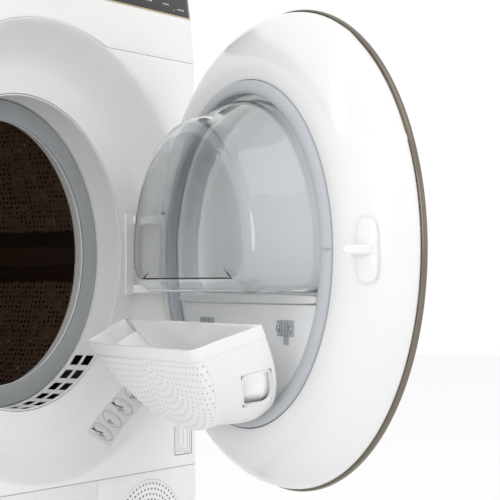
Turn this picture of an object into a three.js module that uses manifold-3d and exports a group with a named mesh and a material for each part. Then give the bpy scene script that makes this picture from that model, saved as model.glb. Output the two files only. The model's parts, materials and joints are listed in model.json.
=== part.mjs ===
// A 600 mm wide front-loading tumble dryer with a heat-pump base, modelled as separate pieces.
// Millimetres. While building, X runs right, Y runs into the machine from the front panel and
// Z runs up from the floor. The exported group moves the origin to the middle of the base tray.
import * as THREE from "three";
import { mergeVertices } from "three/addons/utils/BufferGeometryUtils.js";
import Module from "manifold-3d";

const wasm = await Module();
wasm.setup();

// ---- Driving dimensions -------------------------------------------------------------------
const HALF_WIDTH = 298;
const HEIGHT = 850;
const DEPTH = 600;
const FOOT_HEIGHT = 14; // underside of the base tray above the floor
const GAP = 0.3; // clearance between touching pieces
const SHEET = 1.5; // steel sheet
const WALL = 2.5; // moulded plastic wall
const CORNER = 22; // radius of the front vertical edges
const WRAP = 24; // how far the front pieces wrap round the sides
const PLINTH_TOP = 150; // seam between plinth and front panel
const FASCIA_SEAM = 669; // seam between front panel and upper fascia
const PANEL_BOTTOM = 729; // lower edge of the control panel
const PANEL_TOP = 824;
const TRIM_HEIGHT = 1.3; // metal strip under the control panel
const FASCIA_LEAN = 0.1; // how far the fascia leans back per mm of height
const PANEL_LEAN = 0.13;
const DRAWER_RIGHT = -128; // right end of the tank drawer front
const FLAP_RIGHT = 83; // right end of the service door

const DRUM_Z = 421; // height of the drum axis
const DRUM_R = 287;
const DRUM_FRONT = 101.5;
const DRUM_BACK = 545;
const DISH_R = 266.6; // outer edge of the dished recess in the front panel
const BEZEL_R = 184.5; // inner edge of the dish
const BEZEL_Y = 42.2;
const FELT_Y = 81;
const FELT_IN = 156.8;
const FELT_OUT = 181.2;

const HINGE_X = 242.4; // door hinge axis
const HINGE_Y = -21.7;
const DOOR_OPEN = 61.83; // modelled door opening, degrees
const RIM_R = 271.6;
const SEAL_Z = 417; // centre of the door seal, bowl and filter
const SEAL_IN = 177.5;
const SEAL_OUT = 193.8;
const SHELL_TOP = 34.1; // the door shell's crest, measured inwards from the front plane
const FILTER_PIVOT_Y = 18.8;
const FILTER_PIVOT_Z = 250.6;
const FILTER_OPEN = 33.5; // modelled filter swing, degrees
const BOWL_FLOOR = 373.5; // underside of the clear bowl
const SCOOP_TOP = 372.3; // rim of the filter scoop at its back plate
const SCOOP_BACK = 37; // depth of the back plate's rear face
const SCOOP_SLOPE = 11; // rise of the rim away from the door, degrees
const SCOOP_WALL = 2.2;
const LATCH_X = -240;

const MOTOR_X = 200;
const MOTOR_Z = 95;
const PULLEY_R = 11;
const BELT_Y = 131;
const BELT_WIDTH = 8;
const BELT_STEPS = 28;
const ROLLER_R = 30;
const ROLLER_ANGLE = 30; // degrees either side of straight down
const TENSION_R = 14;

const RING = 32; // segments of the large round pieces
const ROUND = 14; // segments of the small ones
const DEG = Math.PI / 180;

// ---- Materials ----------------------------------------------------------------------------
const finish = (color, roughness, metalness = 0, opacity = 1) => ({
  color,
  roughness,
  metalness,
  opacity,
  transparent: opacity < 1,
});
const WHITE = finish(0xf2f2f1, 0.35);
const WHITE_STEEL = finish(0xf1f1f0, 0.4, 0.1);
const BLACK_GLOSS = finish(0x060607, 0.08);
const CHROME = finish(0xb9b3a6, 0.18, 1);
const CLEAR = finish(0xf4f8fa, 0.05, 0, 0.25);
const SEAL_GREY = finish(0xb8bcc2, 0.6);
const FELT_GREY = finish(0xb2b6b8, 0.95);
const DRUM_STEEL = finish(0x5d4a3c, 0.35, 0.9);
const ZINC = finish(0xb7babd, 0.4, 0.8);
const DARK = finish(0x2c2e31, 0.6);
const ALU = finish(0xc9ccd0, 0.35, 0.9);
const BOARD = finish(0x2e6b45, 0.6);

// ---- Solids -------------------------------------------------------------------------------
// A closed geometry as a solid, with its shared vertices merged and its faces turned outwards.
function solid(geometry) {
  const bare = geometry.index ? geometry.toNonIndexed() : geometry.clone();
  Object.keys(bare.attributes)
    .filter((key) => key !== "position")
    .forEach((key) => bare.deleteAttribute(key));
  const merged = mergeVertices(bare, 1e-3);
  const index = merged.index.array;
  const kept = [];
  for (let i = 0; i < index.length; i += 3) {
    const [a, b, c] = [index[i], index[i + 1], index[i + 2]];
    if (a !== b && b !== c && a !== c) kept.push(a, b, c);
  }
  const make = (triangles) =>
    new wasm.Manifold(
      new wasm.Mesh({
        numProp: 3,
        vertProperties: merged.attributes.position.array,
        triVerts: new Uint32Array(triangles),
      }),
    );
  const made = make(kept);
  return made.volume() >= 0 ? made : make(kept.reverse());
}

function geometryOf(body) {
  const mesh = body.getMesh();
  const geometry = new THREE.BufferGeometry();
  geometry.setAttribute("position", new THREE.BufferAttribute(new Float32Array(mesh.vertProperties), 3));
  geometry.setIndex(new THREE.BufferAttribute(new Uint32Array(mesh.triVerts), 1));
  return geometry;
}

const join = (first, ...rest) =>
  geometryOf(rest.reduce((body, piece) => body.add(solid(piece)), solid(first)));
const cut = (first, ...rest) =>
  geometryOf(rest.reduce((body, piece) => body.subtract(solid(piece)), solid(first)));
const common = (first, ...rest) =>
  geometryOf(rest.reduce((body, piece) => body.intersect(solid(piece)), solid(first)));

const box = (x0, x1, y0, y1, z0, z1) =>
  new THREE.BoxGeometry(x1 - x0, y1 - y0, z1 - z0).translate((x0 + x1) / 2, (y0 + y1) / 2, (z0 + z1) / 2);
const rodY = (r, y0, y1, x = 0, z = 0, segments = ROUND) =>
  new THREE.CylinderGeometry(r, r, y1 - y0, segments).translate(x, (y0 + y1) / 2, z);
const rodX = (r, x0, x1, y, z) =>
  new THREE.CylinderGeometry(r, r, x1 - x0, ROUND).rotateZ(Math.PI / 2).translate((x0 + x1) / 2, y, z);
const rodZ = (r, z0, z1, x, y, segments = ROUND) =>
  new THREE.CylinderGeometry(r, r, z1 - z0, segments).rotateX(Math.PI / 2).translate(x, y, (z0 + z1) / 2);

// A profile of [radius, y] points turned about the Y axis through (x, z).
function turned(profile, x = 0, z = DRUM_Z, segments = RING) {
  const points = profile.map(([r, y]) => new THREE.Vector2(r, y));
  const onAxis = profile[0][0] === 0 && profile.at(-1)[0] === 0;
  if (!onAxis) points.push(points[0].clone());
  return new THREE.LatheGeometry(points, segments).translate(x, 0, z);
}

// An open line of points moved sideways by t, to its left when t is positive.
function offset(points, t) {
  return points.map((point, i) => {
    const before = points[Math.max(i - 1, 0)];
    const after = points[Math.min(i + 1, points.length - 1)];
    const [dx, dy] = [after[0] - before[0], after[1] - before[1]];
    const length = Math.hypot(dx, dy);
    return [point[0] - (dy / length) * t, point[1] + (dx / length) * t];
  });
}

// The closed outline of a wall of thickness t along an open line of points.
const walled = (points, t) => [...points, ...offset(points, t).reverse()];

const outline = (points) => new THREE.Shape(points.map(([x, y]) => new THREE.Vector2(x, y)));

function upright(shape, z0, z1, curveSegments = 6) {
  const settings = { depth: z1 - z0, bevelEnabled: false, curveSegments };
  return new THREE.ExtrudeGeometry(shape, settings).translate(0, 0, z0);
}

// A shape drawn in X and Z, extruded along Y.
function facing(shape, y0, y1, curveSegments = 6) {
  const settings = { depth: y1 - y0, bevelEnabled: false, curveSegments };
  return new THREE.ExtrudeGeometry(shape, settings).rotateX(Math.PI / 2).translate(0, y1, 0);
}

// A shape drawn in Y and Z, extruded along X.
function along(shape, x0, x1) {
  const turn = new THREE.Matrix4().makeBasis(
    new THREE.Vector3(0, 1, 0),
    new THREE.Vector3(0, 0, 1),
    new THREE.Vector3(1, 0, 0),
  );
  const settings = { depth: x1 - x0, bevelEnabled: false, curveSegments: 4 };
  return new THREE.ExtrudeGeometry(shape, settings).applyMatrix4(turn).translate(x0, 0, 0);
}

// The plan of a front piece: a wall along Y = 0 whose marked ends turn back round the corner.
function frontPlan(x0, x1, turnLeft, turnRight, t, r = CORNER) {
  const shape = new THREE.Shape();
  if (turnLeft) {
    shape.moveTo(x0, WRAP);
    shape.lineTo(x0, r);
    shape.absarc(x0 + r, r, r, Math.PI, 1.5 * Math.PI, false);
  } else shape.moveTo(x0, 0);
  if (turnRight) {
    shape.lineTo(x1 - r, 0);
    shape.absarc(x1 - r, r, r, -0.5 * Math.PI, 0, false);
    shape.lineTo(x1, WRAP);
    shape.lineTo(x1 - t, WRAP);
    shape.lineTo(x1 - t, r);
    shape.absarc(x1 - r, r, r - t, 0, -0.5 * Math.PI, true);
  } else {
    shape.lineTo(x1, 0);
    shape.lineTo(x1, t);
  }
  if (turnLeft) {
    shape.lineTo(x0 + r, t);
    shape.absarc(x0 + r, r, r - t, 1.5 * Math.PI, Math.PI, true);
    shape.lineTo(x0 + t, WRAP);
  } else shape.lineTo(x0, t);
  return shape;
}

// Leans a piece back: every point moves in Y with its height above z0.
function lean(geometry, z0, slope, y0 = 0) {
  const place = geometry.attributes.position;
  for (let i = 0; i < place.count; i += 1)
    place.setY(i, place.getY(i) + y0 + slope * (place.getZ(i) - z0));
  return geometry;
}

const dryer = new THREE.Group();
dryer.position.set(0, -DEPTH / 2, -FOOT_HEIGHT);

function add(parent, name, geometry, look) {
  const mesh = new THREE.Mesh(geometryOf(solid(geometry)), new THREE.MeshStandardMaterial(look));
  mesh.name = name;
  parent.add(mesh);
  return mesh;
}

// ---- Cabinet ------------------------------------------------------------------------------
const trimClear = () => box(-400, 400, WRAP, 200, 0, HEIGHT);
const panelFaceY = (z) => FASCIA_LEAN * (PANEL_BOTTOM - FASCIA_SEAM) + PANEL_LEAN * (z - PANEL_BOTTOM);

function buildBase() {
  const front = 28;
  const back = 594;
  const side = 294;
  const tray = box(-side, side, front, back, FOOT_HEIGHT, 46);
  const hollow = box(-side + 3, side - 3, front + 3, back - 3, FOOT_HEIGHT + 4, 60);
  const feet = [-1, 1].flatMap((x) => [80, 540].map((y) => [x * 250, y]));
  const holes = feet.map(([x, y]) => rodZ(6.4, 0, 30, x, y));
  add(dryer, "base_tray", cut(tray, hollow, ...holes), DARK);
  const names = ["foot_front_left", "foot_rear_left", "foot_front_right", "foot_rear_right"];
  feet.forEach(([x, y], i) => {
    const foot = join(rodZ(20, 0, 8, x, y), rodZ(12, 7, FOOT_HEIGHT - GAP, x, y), rodZ(6, 5, 28, x, y));
    add(dryer, names[i], foot, DARK);
  });
}

function buildSheets() {
  const inner = HALF_WIDTH - SHEET;
  const y0 = WRAP + GAP;
  const y1 = DEPTH - SHEET - GAP;
  [-1, 1].forEach((side) => {
    const line = [
      [side * (inner - 15), y0],
      [side * HALF_WIDTH, y0],
      [side * HALF_WIDTH, y1],
      [side * (inner - 15), y1],
      [side * (inner - 15), y1 - SHEET],
      [side * inner, y1 - SHEET],
      [side * inner, y0 + SHEET],
      [side * (inner - 15), y0 + SHEET],
    ];
    const name = side < 0 ? "left_side_panel" : "right_side_panel";
    add(dryer, name, upright(outline(line), 18, PANEL_TOP), WHITE_STEEL);
  });

  const louvres = Array.from({ length: 7 }, (_, i) => box(90, 250, 590, 610, 200 + 14 * i, 206 + 14 * i));
  const gland = rodY(10, 590, 610, -230, 90);
  const back = cut(box(-HALF_WIDTH, HALF_WIDTH, DEPTH - SHEET, DEPTH, 18, PANEL_TOP), gland, ...louvres);
  add(dryer, "back_panel", back, ZINC);
  const inlet = join(rodY(16, DEPTH + GAP, DEPTH + 6, -230, 90), rodY(9.5, 584, DEPTH + 5, -230, 90));
  add(dryer, "power_inlet", cut(inlet, rodY(5, 570, 620, -230, 90)), DARK);

  const top = new THREE.Shape();
  const front = 10;
  top.moveTo(-HALF_WIDTH, DEPTH);
  top.lineTo(-HALF_WIDTH, front + CORNER);
  top.absarc(-HALF_WIDTH + CORNER, front + CORNER, CORNER, Math.PI, 1.5 * Math.PI, false);
  top.absarc(HALF_WIDTH - CORNER, front + CORNER, CORNER, -0.5 * Math.PI, 0, false);
  top.lineTo(HALF_WIDTH, DEPTH);
  add(dryer, "top_panel", upright(top, PANEL_TOP + 2, HEIGHT), WHITE);
}

// The dish runs from the flat bezel out to the front plane in one soft curve.
const DISH = [
  [BEZEL_R, BEZEL_Y],
  [214, BEZEL_Y],
  [226, 39.6],
  [237, 33.6],
  [247, 24],
  [256, 12],
  [262, 4.2],
  [DISH_R + 0.9, 0.2],
];

function buildFrontPanel() {
  const plan = frontPlan(-HALF_WIDTH, HALF_WIDTH, true, true, SHEET);
  const sheet = upright(plan, PLINTH_TOP + GAP, FASCIA_SEAM - GAP);
  const hole = rodY(DISH_R + 0.4, -10, 10, 0, DRUM_Z, RING);
  const dish = turned(walled(DISH, SHEET - 0.3));
  const latchSlot = box(LATCH_X - 12, LATCH_X + 11, 15, 60, SEAL_Z - 10, SEAL_Z + 10);
  add(dryer, "front_panel", cut(join(cut(sheet, hole), dish), latchSlot), WHITE_STEEL);
}

function buildPlinth() {
  const z0 = 20;
  const z1 = PLINTH_TOP - GAP;
  const grilleX = 183;
  const grilleZ = 66;
  const grilleR = 75;
  const sill = 26;
  const disc = (r, low, y0, y1) =>
    common(rodY(r, y0, y1, grilleX, grilleZ, 30), box(grilleX - 90, grilleX + 90, y0, y1, low, 160));
  const right = upright(frontPlan(FLAP_RIGHT + GAP, HALF_WIDTH, false, true, WALL), z0, z1);
  add(dryer, "plinth_panel", cut(right, disc(grilleR, sill, -5, 10)), WHITE);
  const slots = [24, 42, 60].flatMap((r) =>
    [-60, 0, 60].map((turn) => {
      const slot = new THREE.Shape();
      const [from, to] = [(90 + turn - 24) * DEG, (90 + turn + 24) * DEG];
      slot.absarc(grilleX, grilleZ, r + 3, from, to, false);
      slot.absarc(grilleX, grilleZ, r - 3, to, from, true);
      return facing(slot, -5, 10, 3);
    }),
  );
  add(dryer, "plinth_grille", cut(disc(grilleR - GAP, sill + GAP, 0.3, WALL), ...slots), WHITE);
  const left = upright(frontPlan(-HALF_WIDTH, FLAP_RIGHT - GAP, true, false, WALL), z0 + 4, z1);
  add(dryer, "service_door", left, WHITE);
}

function buildFascia() {
  const plan = frontPlan(-HALF_WIDTH, HALF_WIDTH, true, true, WALL);
  const fascia = upright(plan, FASCIA_SEAM + GAP, PANEL_BOTTOM - TRIM_HEIGHT - GAP);
  const arch = rodY(DISH_R + 1.6, -10, 40, 0, DRUM_Z, RING);
  add(dryer, "upper_fascia", cut(lean(fascia, FASCIA_SEAM, FASCIA_LEAN), trimClear(), arch), WHITE);
  const y0 = panelFaceY(PANEL_BOTTOM);
  const strip = upright(plan, PANEL_BOTTOM - TRIM_HEIGHT, PANEL_BOTTOM);
  add(dryer, "trim_strip", cut(strip.translate(0, y0 - 0.6, 0), trimClear()), CHROME);
}

// A group on the leaning panel face: its Y axis runs into the panel.
function onPanel(x, z) {
  const place = new THREE.Group();
  place.position.set(x, panelFaceY(z), z);
  place.rotation.x = -Math.atan(PANEL_LEAN);
  dryer.add(place);
  return place;
}

function inPanel(geometry, x, z) {
  return geometry.rotateX(-Math.atan(PANEL_LEAN)).translate(x, panelFaceY(z), z);
}

const KNOB = { x: 0, z: 777, r: 24 };
const POWER = { x: -88, z: 777, r: 9 };
const START = { x: 246, z: 777, r: 12 };
const DISPLAY = { x: 128, z: 779, w: 74, h: 26 };

function buildControls() {
  const z0 = PANEL_BOTTOM + GAP;
  const y0 = panelFaceY(PANEL_BOTTOM);
  const shell = upright(frontPlan(DRAWER_RIGHT + GAP, HALF_WIDTH, false, true, WALL), z0, PANEL_TOP + 1.5);
  const bores = [
    inPanel(rodY(6.5, -10, 10), KNOB.x, KNOB.z),
    inPanel(rodY(POWER.r + 0.5, -10, 10), POWER.x, POWER.z),
    inPanel(rodY(START.r + 0.5, -10, 10), START.x, START.z),
    inPanel(box(-DISPLAY.w / 2, DISPLAY.w / 2, -5, 1.5, -DISPLAY.h / 2, DISPLAY.h / 2), DISPLAY.x, DISPLAY.z),
  ];
  const leaned = lean(shell, PANEL_BOTTOM, PANEL_LEAN, y0);
  add(dryer, "control_panel", cut(leaned, trimClear(), ...bores), BLACK_GLOSS);

  const w = DISPLAY.w / 2 - GAP;
  const h = DISPLAY.h / 2 - GAP;
  add(onPanel(DISPLAY.x, DISPLAY.z), "display_window", box(-w, w, -0.3, 1.2, -h, h), BLACK_GLOSS);
  const cap = [[0, -17], [KNOB.r - 3, -17], [KNOB.r - 1, -15], [KNOB.r, -2], [KNOB.r, -0.5], [0, -0.5]];
  const knob = join(turned(cap, 0, 0, 24), rodY(6, -2, 12));
  add(onPanel(KNOB.x, KNOB.z), "program_knob", cut(knob, box(-1, 1, -20, -16, 10, 30)), CHROME);
  [["button_power", POWER], ["button_start", START]].forEach(([name, { x, z, r }]) => {
    const cap = [[0, -2.5], [r - 1, -2.5], [r, -1.5], [r, 8], [0, 8]];
    add(onPanel(x, z), name, turned(cap, 0, 0, 24), CHROME);
  });
  const chips = [-60, 10, 60].map((x) => box(90 + x, 120 + x, 44, 50.5, 765, 790));
  add(dryer, "control_board", join(box(-60, 240, 50, 52, 740, 818), ...chips), BOARD);
}

// The condensate tank: a front that carries on the panel's line, and an open-topped trough.
function buildTank() {
  const y0 = panelFaceY(PANEL_BOTTOM);
  const plan = frontPlan(-HALF_WIDTH, DRAWER_RIGHT - GAP, true, false, WALL);
  const front = cut(
    lean(upright(plan, PANEL_BOTTOM + GAP, PANEL_TOP + 1.5), PANEL_BOTTOM, PANEL_LEAN, y0),
    trimClear(),
  );
  const left = -276;
  const right = DRAWER_RIGHT - 8;
  const trough = box(left, right, 8, 520, PANEL_BOTTOM + 4, 815);
  const inside = box(left + WALL, right - WALL, 30, 520 - WALL, PANEL_BOTTOM + 4 + WALL, 830);
  const nose = lean(box(left, right, -80, -0.1, 700, 850), PANEL_BOTTOM, PANEL_LEAN, y0 + 1);
  const hollow = box(-230, -175, -5, 16, PANEL_BOTTOM - 2, PANEL_BOTTOM + 22);
  const grip = lean(hollow, PANEL_BOTTOM, PANEL_LEAN, y0);
  add(dryer, "tank_drawer", cut(join(front, cut(trough, nose)), inside, grip), BLACK_GLOSS);
}

// ---- Drum and its bulkheads ---------------------------------------------------------------
const rollerPlace = (side) => {
  const reach = DRUM_R + ROLLER_R + 0.4;
  return [side * reach * Math.sin(ROLLER_ANGLE * DEG), DRUM_Z - reach * Math.cos(ROLLER_ANGLE * DEG)];
};

function beltLines(extra) {
  const big = DRUM_R + 2 + extra;
  const small = PULLEY_R + 0.6 + extra;
  const [dx, dz] = [MOTOR_X, MOTOR_Z - DRUM_Z];
  const heading = Math.atan2(dz, dx);
  const spread = Math.acos((big - small) / Math.hypot(dx, dz));
  return { big, small, from: heading + spread, to: heading - spread };
}

// The belt's line: round the drum, straight down to the pulley and back.
function beltShape(extra) {
  const { big, small, from, to } = beltLines(extra);
  const shape = new THREE.Shape();
  shape.absarc(0, DRUM_Z, big, from, to + 2 * Math.PI, false);
  shape.absarc(MOTOR_X, MOTOR_Z, small, to, from, false);
  return shape;
}

function tensionPlace() {
  const { big, small, to } = beltLines(2);
  const out = TENSION_R + 0.5;
  const x = (Math.cos(to) * (big + small) + MOTOR_X) / 2 + Math.cos(to) * out;
  const z = (DRUM_Z + MOTOR_Z + Math.sin(to) * (big + small)) / 2 + Math.sin(to) * out;
  return [x, z];
}

function buildBulkheads() {
  const studs = [-1, 1].map((side) => {
    const [x, z] = rollerPlace(side);
    return rodY(5, 46, 126, x, z);
  });
  const [tx, tz] = tensionPlace();
  studs.push(rodY(4, 46, 143, tx, tz));
  const plate = cut(
    box(-290, 290, 45, 47, FOOT_HEIGHT + 4.5, 700),
    rodY(BEZEL_R + 0.3, 30, 60, 0, DRUM_Z, RING),
    box(LATCH_X - 18, LATCH_X + 18, 30, 60, SEAL_Z - 19, SEAL_Z + 19),
  );
  add(dryer, "front_bulkhead", join(plate, ...studs), ZINC);

  const catchBody = box(LATCH_X - 17, LATCH_X + 17, 45, 76, SEAL_Z - 18, SEAL_Z + 18);
  const pocket = box(LATCH_X - 11, LATCH_X + 10, 40, 72, SEAL_Z - 9, SEAL_Z + 9);
  add(dryer, "door_catch", cut(catchBody, pocket), WHITE);

  const duct = cut(
    box(-118, 118, 47.4, 100, 132, 276),
    box(-115.5, 115.5, 49.9, 97.5, 100, 300),
    rodY(BEZEL_R + 0.4, 30, 120, 0, DRUM_Z, RING),
  );
  add(dryer, "filter_duct", duct, DARK);

  const airHoles = Array.from({ length: 8 }, (_, i) => {
    const turn = (i + 0.5) * 45 * DEG;
    return rodY(26, 550, 570, 140 * Math.cos(turn), DRUM_Z + 140 * Math.sin(turn), 12);
  });
  const wall = box(-285, 285, 560, 562, FOOT_HEIGHT + 4.5, 705);
  const rear = cut(wall, rodY(31, 550, 570, 0, DRUM_Z), ...airHoles);
  add(dryer, "rear_bulkhead", rear, ZINC);
  const bearing = [[12.4, 552], [30.7, 552], [30.7, 562.4], [42, 562.4], [42, 566], [12.4, 566]];
  add(dryer, "rear_bearing", turned(bearing, 0, DRUM_Z, ROUND), ZINC);
  const cover = [
    [0, 592],
    [206, 592],
    [222, 566],
    [236, 566],
    [236, 562.5],
    [218, 562.5],
    [203, 589],
    [0, 589],
  ];
  add(dryer, "rear_air_cover", turned(cover, 0, DRUM_Z, 24), ZINC);
}

// The throat: a ring from the dish back to the felt, with a lattice of air windows below.
function buildThroat() {
  const edge = BEZEL_R - 0.4;
  const ring = turned([
    [edge, BEZEL_Y],
    [edge, 87],
    [158.8, 87],
    [163, 99],
    [161, 99.6],
    [FELT_IN - 0.5, 86],
    [FELT_IN - 0.5, FELT_Y + 3.4],
    [FELT_OUT + 0.3, FELT_Y + 3.4],
    [edge - 1.7, BEZEL_Y],
  ]);
  const windows = [];
  for (let turn = -134; turn <= -46; turn += 8)
    for (const y of [46, 63])
      windows.push(
        new THREE.BoxGeometry(20, 13, 17)
          .translate(BEZEL_R, y + 6.5, 0)
          .rotateY(-turn * DEG)
          .translate(0, 0, DRUM_Z),
      );
  add(dryer, "throat_ring", cut(ring, ...windows), WHITE);
  const felt = [[FELT_IN, FELT_Y], [FELT_OUT, FELT_Y], [FELT_OUT, FELT_Y + 3.1], [FELT_IN, FELT_Y + 3.1]];
  add(dryer, "felt_ring", turned(felt), FELT_GREY);
}

function buildDrum() {
  const line = [
    [0, DRUM_BACK],
    [70, DRUM_BACK],
    [90, DRUM_BACK - 8],
    [270, DRUM_BACK - 12],
    [DRUM_R, DRUM_BACK - 30],
    [DRUM_R, DRUM_FRONT + 8],
    [DRUM_R - 6, DRUM_FRONT + 2],
    [164, DRUM_FRONT],
  ];
  add(dryer, "drum", turned(walledOnAxis(line, -SHEET)), DRUM_STEEL);
  for (let i = 0; i < 3; i += 1) {
    const section = outline([[-34, 0], [34, 0], [24, 20], [12, 44], [-12, 44], [-24, 20]]);
    const lifter = facing(section, DRUM_FRONT + 26, DRUM_BACK - 45).translate(0, 0, 5 - DRUM_R);
    const turn = (30 + 120 * i) * DEG;
    add(dryer, `drum_lifter_${i + 1}`, lifter.rotateY(turn).translate(0, 0, DRUM_Z), WHITE);
  }
  const shaft = join(
    rodY(12, 552, 583, 0, DRUM_Z),
    rodY(26, DRUM_BACK + GAP, 551.5, 0, DRUM_Z),
    rodY(12, 548, 560, 0, DRUM_Z),
  );
  add(dryer, "drum_shaft", shaft, ZINC);
}

// A wall along a line that starts on the axis, closed back to the axis.
function walledOnAxis(line, t) {
  const inner = offset(line, t);
  inner[0][0] = 0;
  return [...line, ...inner.reverse()];
}

// ---- Drive and heat pump ------------------------------------------------------------------
function buildDrive() {
  const body = join(rodY(45, 152, 300, MOTOR_X, MOTOR_Z, 28), box(160, 240, 170, 280, 19, 80));
  add(dryer, "motor", cut(body, rodY(6.5, 140, 310, MOTOR_X, MOTOR_Z)), ALU);
  const pulley = join(
    rodY(6, 126, 383, MOTOR_X, MOTOR_Z),
    rodY(PULLEY_R, 130, 140, MOTOR_X, MOTOR_Z),
    rodY(PULLEY_R + 3, 126.5, 130.5, MOTOR_X, MOTOR_Z),
    rodY(PULLEY_R + 3, 139.5, 143, MOTOR_X, MOTOR_Z),
  );
  add(dryer, "motor_pulley", pulley, ZINC);

  const belt = beltShape(2);
  belt.holes.push(new THREE.Path(beltShape(0).getPoints(BELT_STEPS)));
  add(dryer, "drive_belt", facing(belt, BELT_Y, BELT_Y + BELT_WIDTH, BELT_STEPS), DARK);
  const [tx, tz] = tensionPlace();
  const idler = [[4.4, 129], [TENSION_R, 129], [TENSION_R, 141], [4.4, 141]];
  add(dryer, "tension_pulley", turned(idler, tx, tz, ROUND), DARK);
  [-1, 1].forEach((side) => {
    const [x, z] = rollerPlace(side);
    const wheel = [
      [5.4, 111],
      [ROLLER_R - 4, 111],
      [ROLLER_R, 113],
      [ROLLER_R, 123],
      [ROLLER_R - 4, 125],
      [5.4, 125],
    ];
    add(dryer, side < 0 ? "roller_left" : "roller_right", turned(wheel, x, z, 28), DARK);
  });

  const volute = [[30, 330], [70, 330], [70, 390], [20, 390], [20, 388], [68, 388], [68, 332], [30, 332]];
  add(dryer, "fan_housing", turned(volute, MOTOR_X, MOTOR_Z, 24), DARK);
  const blade = () => new THREE.BoxGeometry(24, 40, 2).translate(48, 362, 0);
  const blades = Array.from({ length: 12 }, (_, i) =>
    blade().rotateY(i * 30 * DEG).translate(MOTOR_X, 0, MOTOR_Z),
  );
  const disc = [[6.3, 340], [12, 340], [12, 378], [62, 381], [62, 384], [6.3, 384]];
  add(dryer, "fan_wheel", join(turned(disc, MOTOR_X, MOTOR_Z, 28), ...blades), DARK);
}

function buildHeatPump() {
  const block = (name, y0, y1, look) => {
    const slots = Array.from({ length: 11 }, (_, i) => {
      const x = -214 + 22 * i;
      return box(x, x + 10, y0 - 1, y1 + 1, 56, 130);
    });
    add(dryer, name, cut(box(-230, 50, y0, y1, 19, 116), ...slots), look);
  };
  block("evaporator", 150, 250, ALU);
  block("condenser", 262, 380, ALU);
  const compressor = [[0, 24], [52, 24], [54, 32], [54, 146], [44, 160], [16, 165], [0, 165]];
  const can = turned(compressor, 0, 0, 28).rotateX(Math.PI / 2).translate(-215, 460, 0);
  add(dryer, "compressor", join(can, box(-280, -150, 400, 520, 19, 27)), DARK);
  const pump = join(rodZ(24, 19, 60, -60, 470), rodZ(8, 55, 84, -60, 470), box(-66, -54, 470, 520, 40, 52));
  add(dryer, "condensate_pump", pump, WHITE);
}

// ---- Door ---------------------------------------------------------------------------------
// Modelled shut inside a group that turns about the hinge axis.
const doorHinge = new THREE.Group();
doorHinge.position.set(HINGE_X, HINGE_Y, 0);
doorHinge.rotation.z = DOOR_OPEN * DEG;
const door = new THREE.Group();
door.position.set(-HINGE_X, -HINGE_Y, 0);
doorHinge.add(door);
dryer.add(doorHinge);

const ARM_LEVELS = [
  [372, 382],
  [460, 470],
];

function buildHinge() {
  const arm = walled([[205, 40.5], [211, 8], [227, -14], [HINGE_X, HINGE_Y]], 3);
  const arms = ARM_LEVELS.flatMap(([z0, z1]) => [
    upright(outline(arm), z0, z1),
    rodZ(5.2, z0, z1, HINGE_X, HINGE_Y),
  ]);
  const bore = rodZ(2.9, 300, 520, HINGE_X, HINGE_Y);
  const base = box(190, 205.5, 39.7, BEZEL_Y - GAP, 369, 473);
  add(dryer, "hinge_bracket", cut(join(base, ...arms), bore), ZINC);
  const pin = join(rodZ(2.5, 369, 474, HINGE_X, HINGE_Y), rodZ(4.5, 471, 475, HINGE_X, HINGE_Y));
  add(dryer, "hinge_pin", pin, ZINC);
  const leaf = join(
    box(200, 240, -30.4, -28.2, 390, 452),
    box(234, HINGE_X + 2, -30.4, HINGE_Y, 390, 452),
    rodZ(5.2, 383, 459, HINGE_X, HINGE_Y),
  );
  add(door, "hinge_leaf", cut(leaf, bore), ZINC);
}

// The inner shell's section: a superellipse quadrant from the rim up to the seal.
function shellPoint(turn) {
  const power = 1.1;
  return [200 + 68.5 * Math.cos(turn) ** power, -22.9 + 57 * Math.sin(turn) ** power];
}

function shellLine() {
  const steps = 8;
  const quarter = Array.from({ length: steps }, (_, i) => shellPoint((i * Math.PI) / 2 / steps));
  return [...quarter, [200, SHELL_TOP], [188, SHELL_TOP]];
}

const latchTilt = 33.5 * DEG; // the shell's slope where the latch stands
const latchPlate = (grow, y0, y1) => {
  const shape = new THREE.Shape();
  const r = 11.5 + grow;
  shape.absarc(0, 20, r, 0, Math.PI, false);
  shape.absarc(0, -20, r, Math.PI, 2 * Math.PI, false);
  return facing(shape, y0, y1).rotateZ(latchTilt).translate(LATCH_X, 21.1, SEAL_Z);
};

function buildDoorSkins() {
  const cover = [[0, -46], [90, -45], [170, -41.4], [225, -36.6], [253, -32.8], [261.6, -30.6]];
  add(door, "door_outer_panel", turned(walledOnAxis(cover, WALL)), WHITE);
  const rim = [[262, -30.5], [269.6, -30.5], [RIM_R, -28.6], [RIM_R, -25], [269.6, -23.3], [262, -23.3]];
  add(door, "door_rim", turned(rim), CHROME);
  const slots = ARM_LEVELS.map(([z0, z1]) => box(199, 280, -24, 45, z0 - 1.5, z1 + 1.5));
  const shell = cut(
    turned(walled(shellLine(), WALL)),
    rodY(SEAL_OUT + 0.5, -30, 50, 0, SEAL_Z, RING),
    latchPlate(0.5, -10, 10),
    ...slots,
  );
  add(door, "door_inner_shell", shell, WHITE);
  const seal = [
    [SEAL_IN, 28],
    [SEAL_OUT, 28],
    [SEAL_OUT, 35],
    [190, 38.4],
    [182, 40],
    [SEAL_IN, 38.5],
  ];
  add(door, "door_seal", turned(seal, 0, SEAL_Z), SEAL_GREY);
}

function buildLatch() {
  const hook = outline([[-5, 18], [5, 18], [4, 44], [2, 50], [-3, 50], [-4, 46]]);
  const bar = upright(hook, SEAL_Z - 5, SEAL_Z + 5).translate(LATCH_X, 0, 0);
  add(door, "latch_hook", join(latchPlate(0, -3, 0), bar), WHITE);
}

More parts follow.
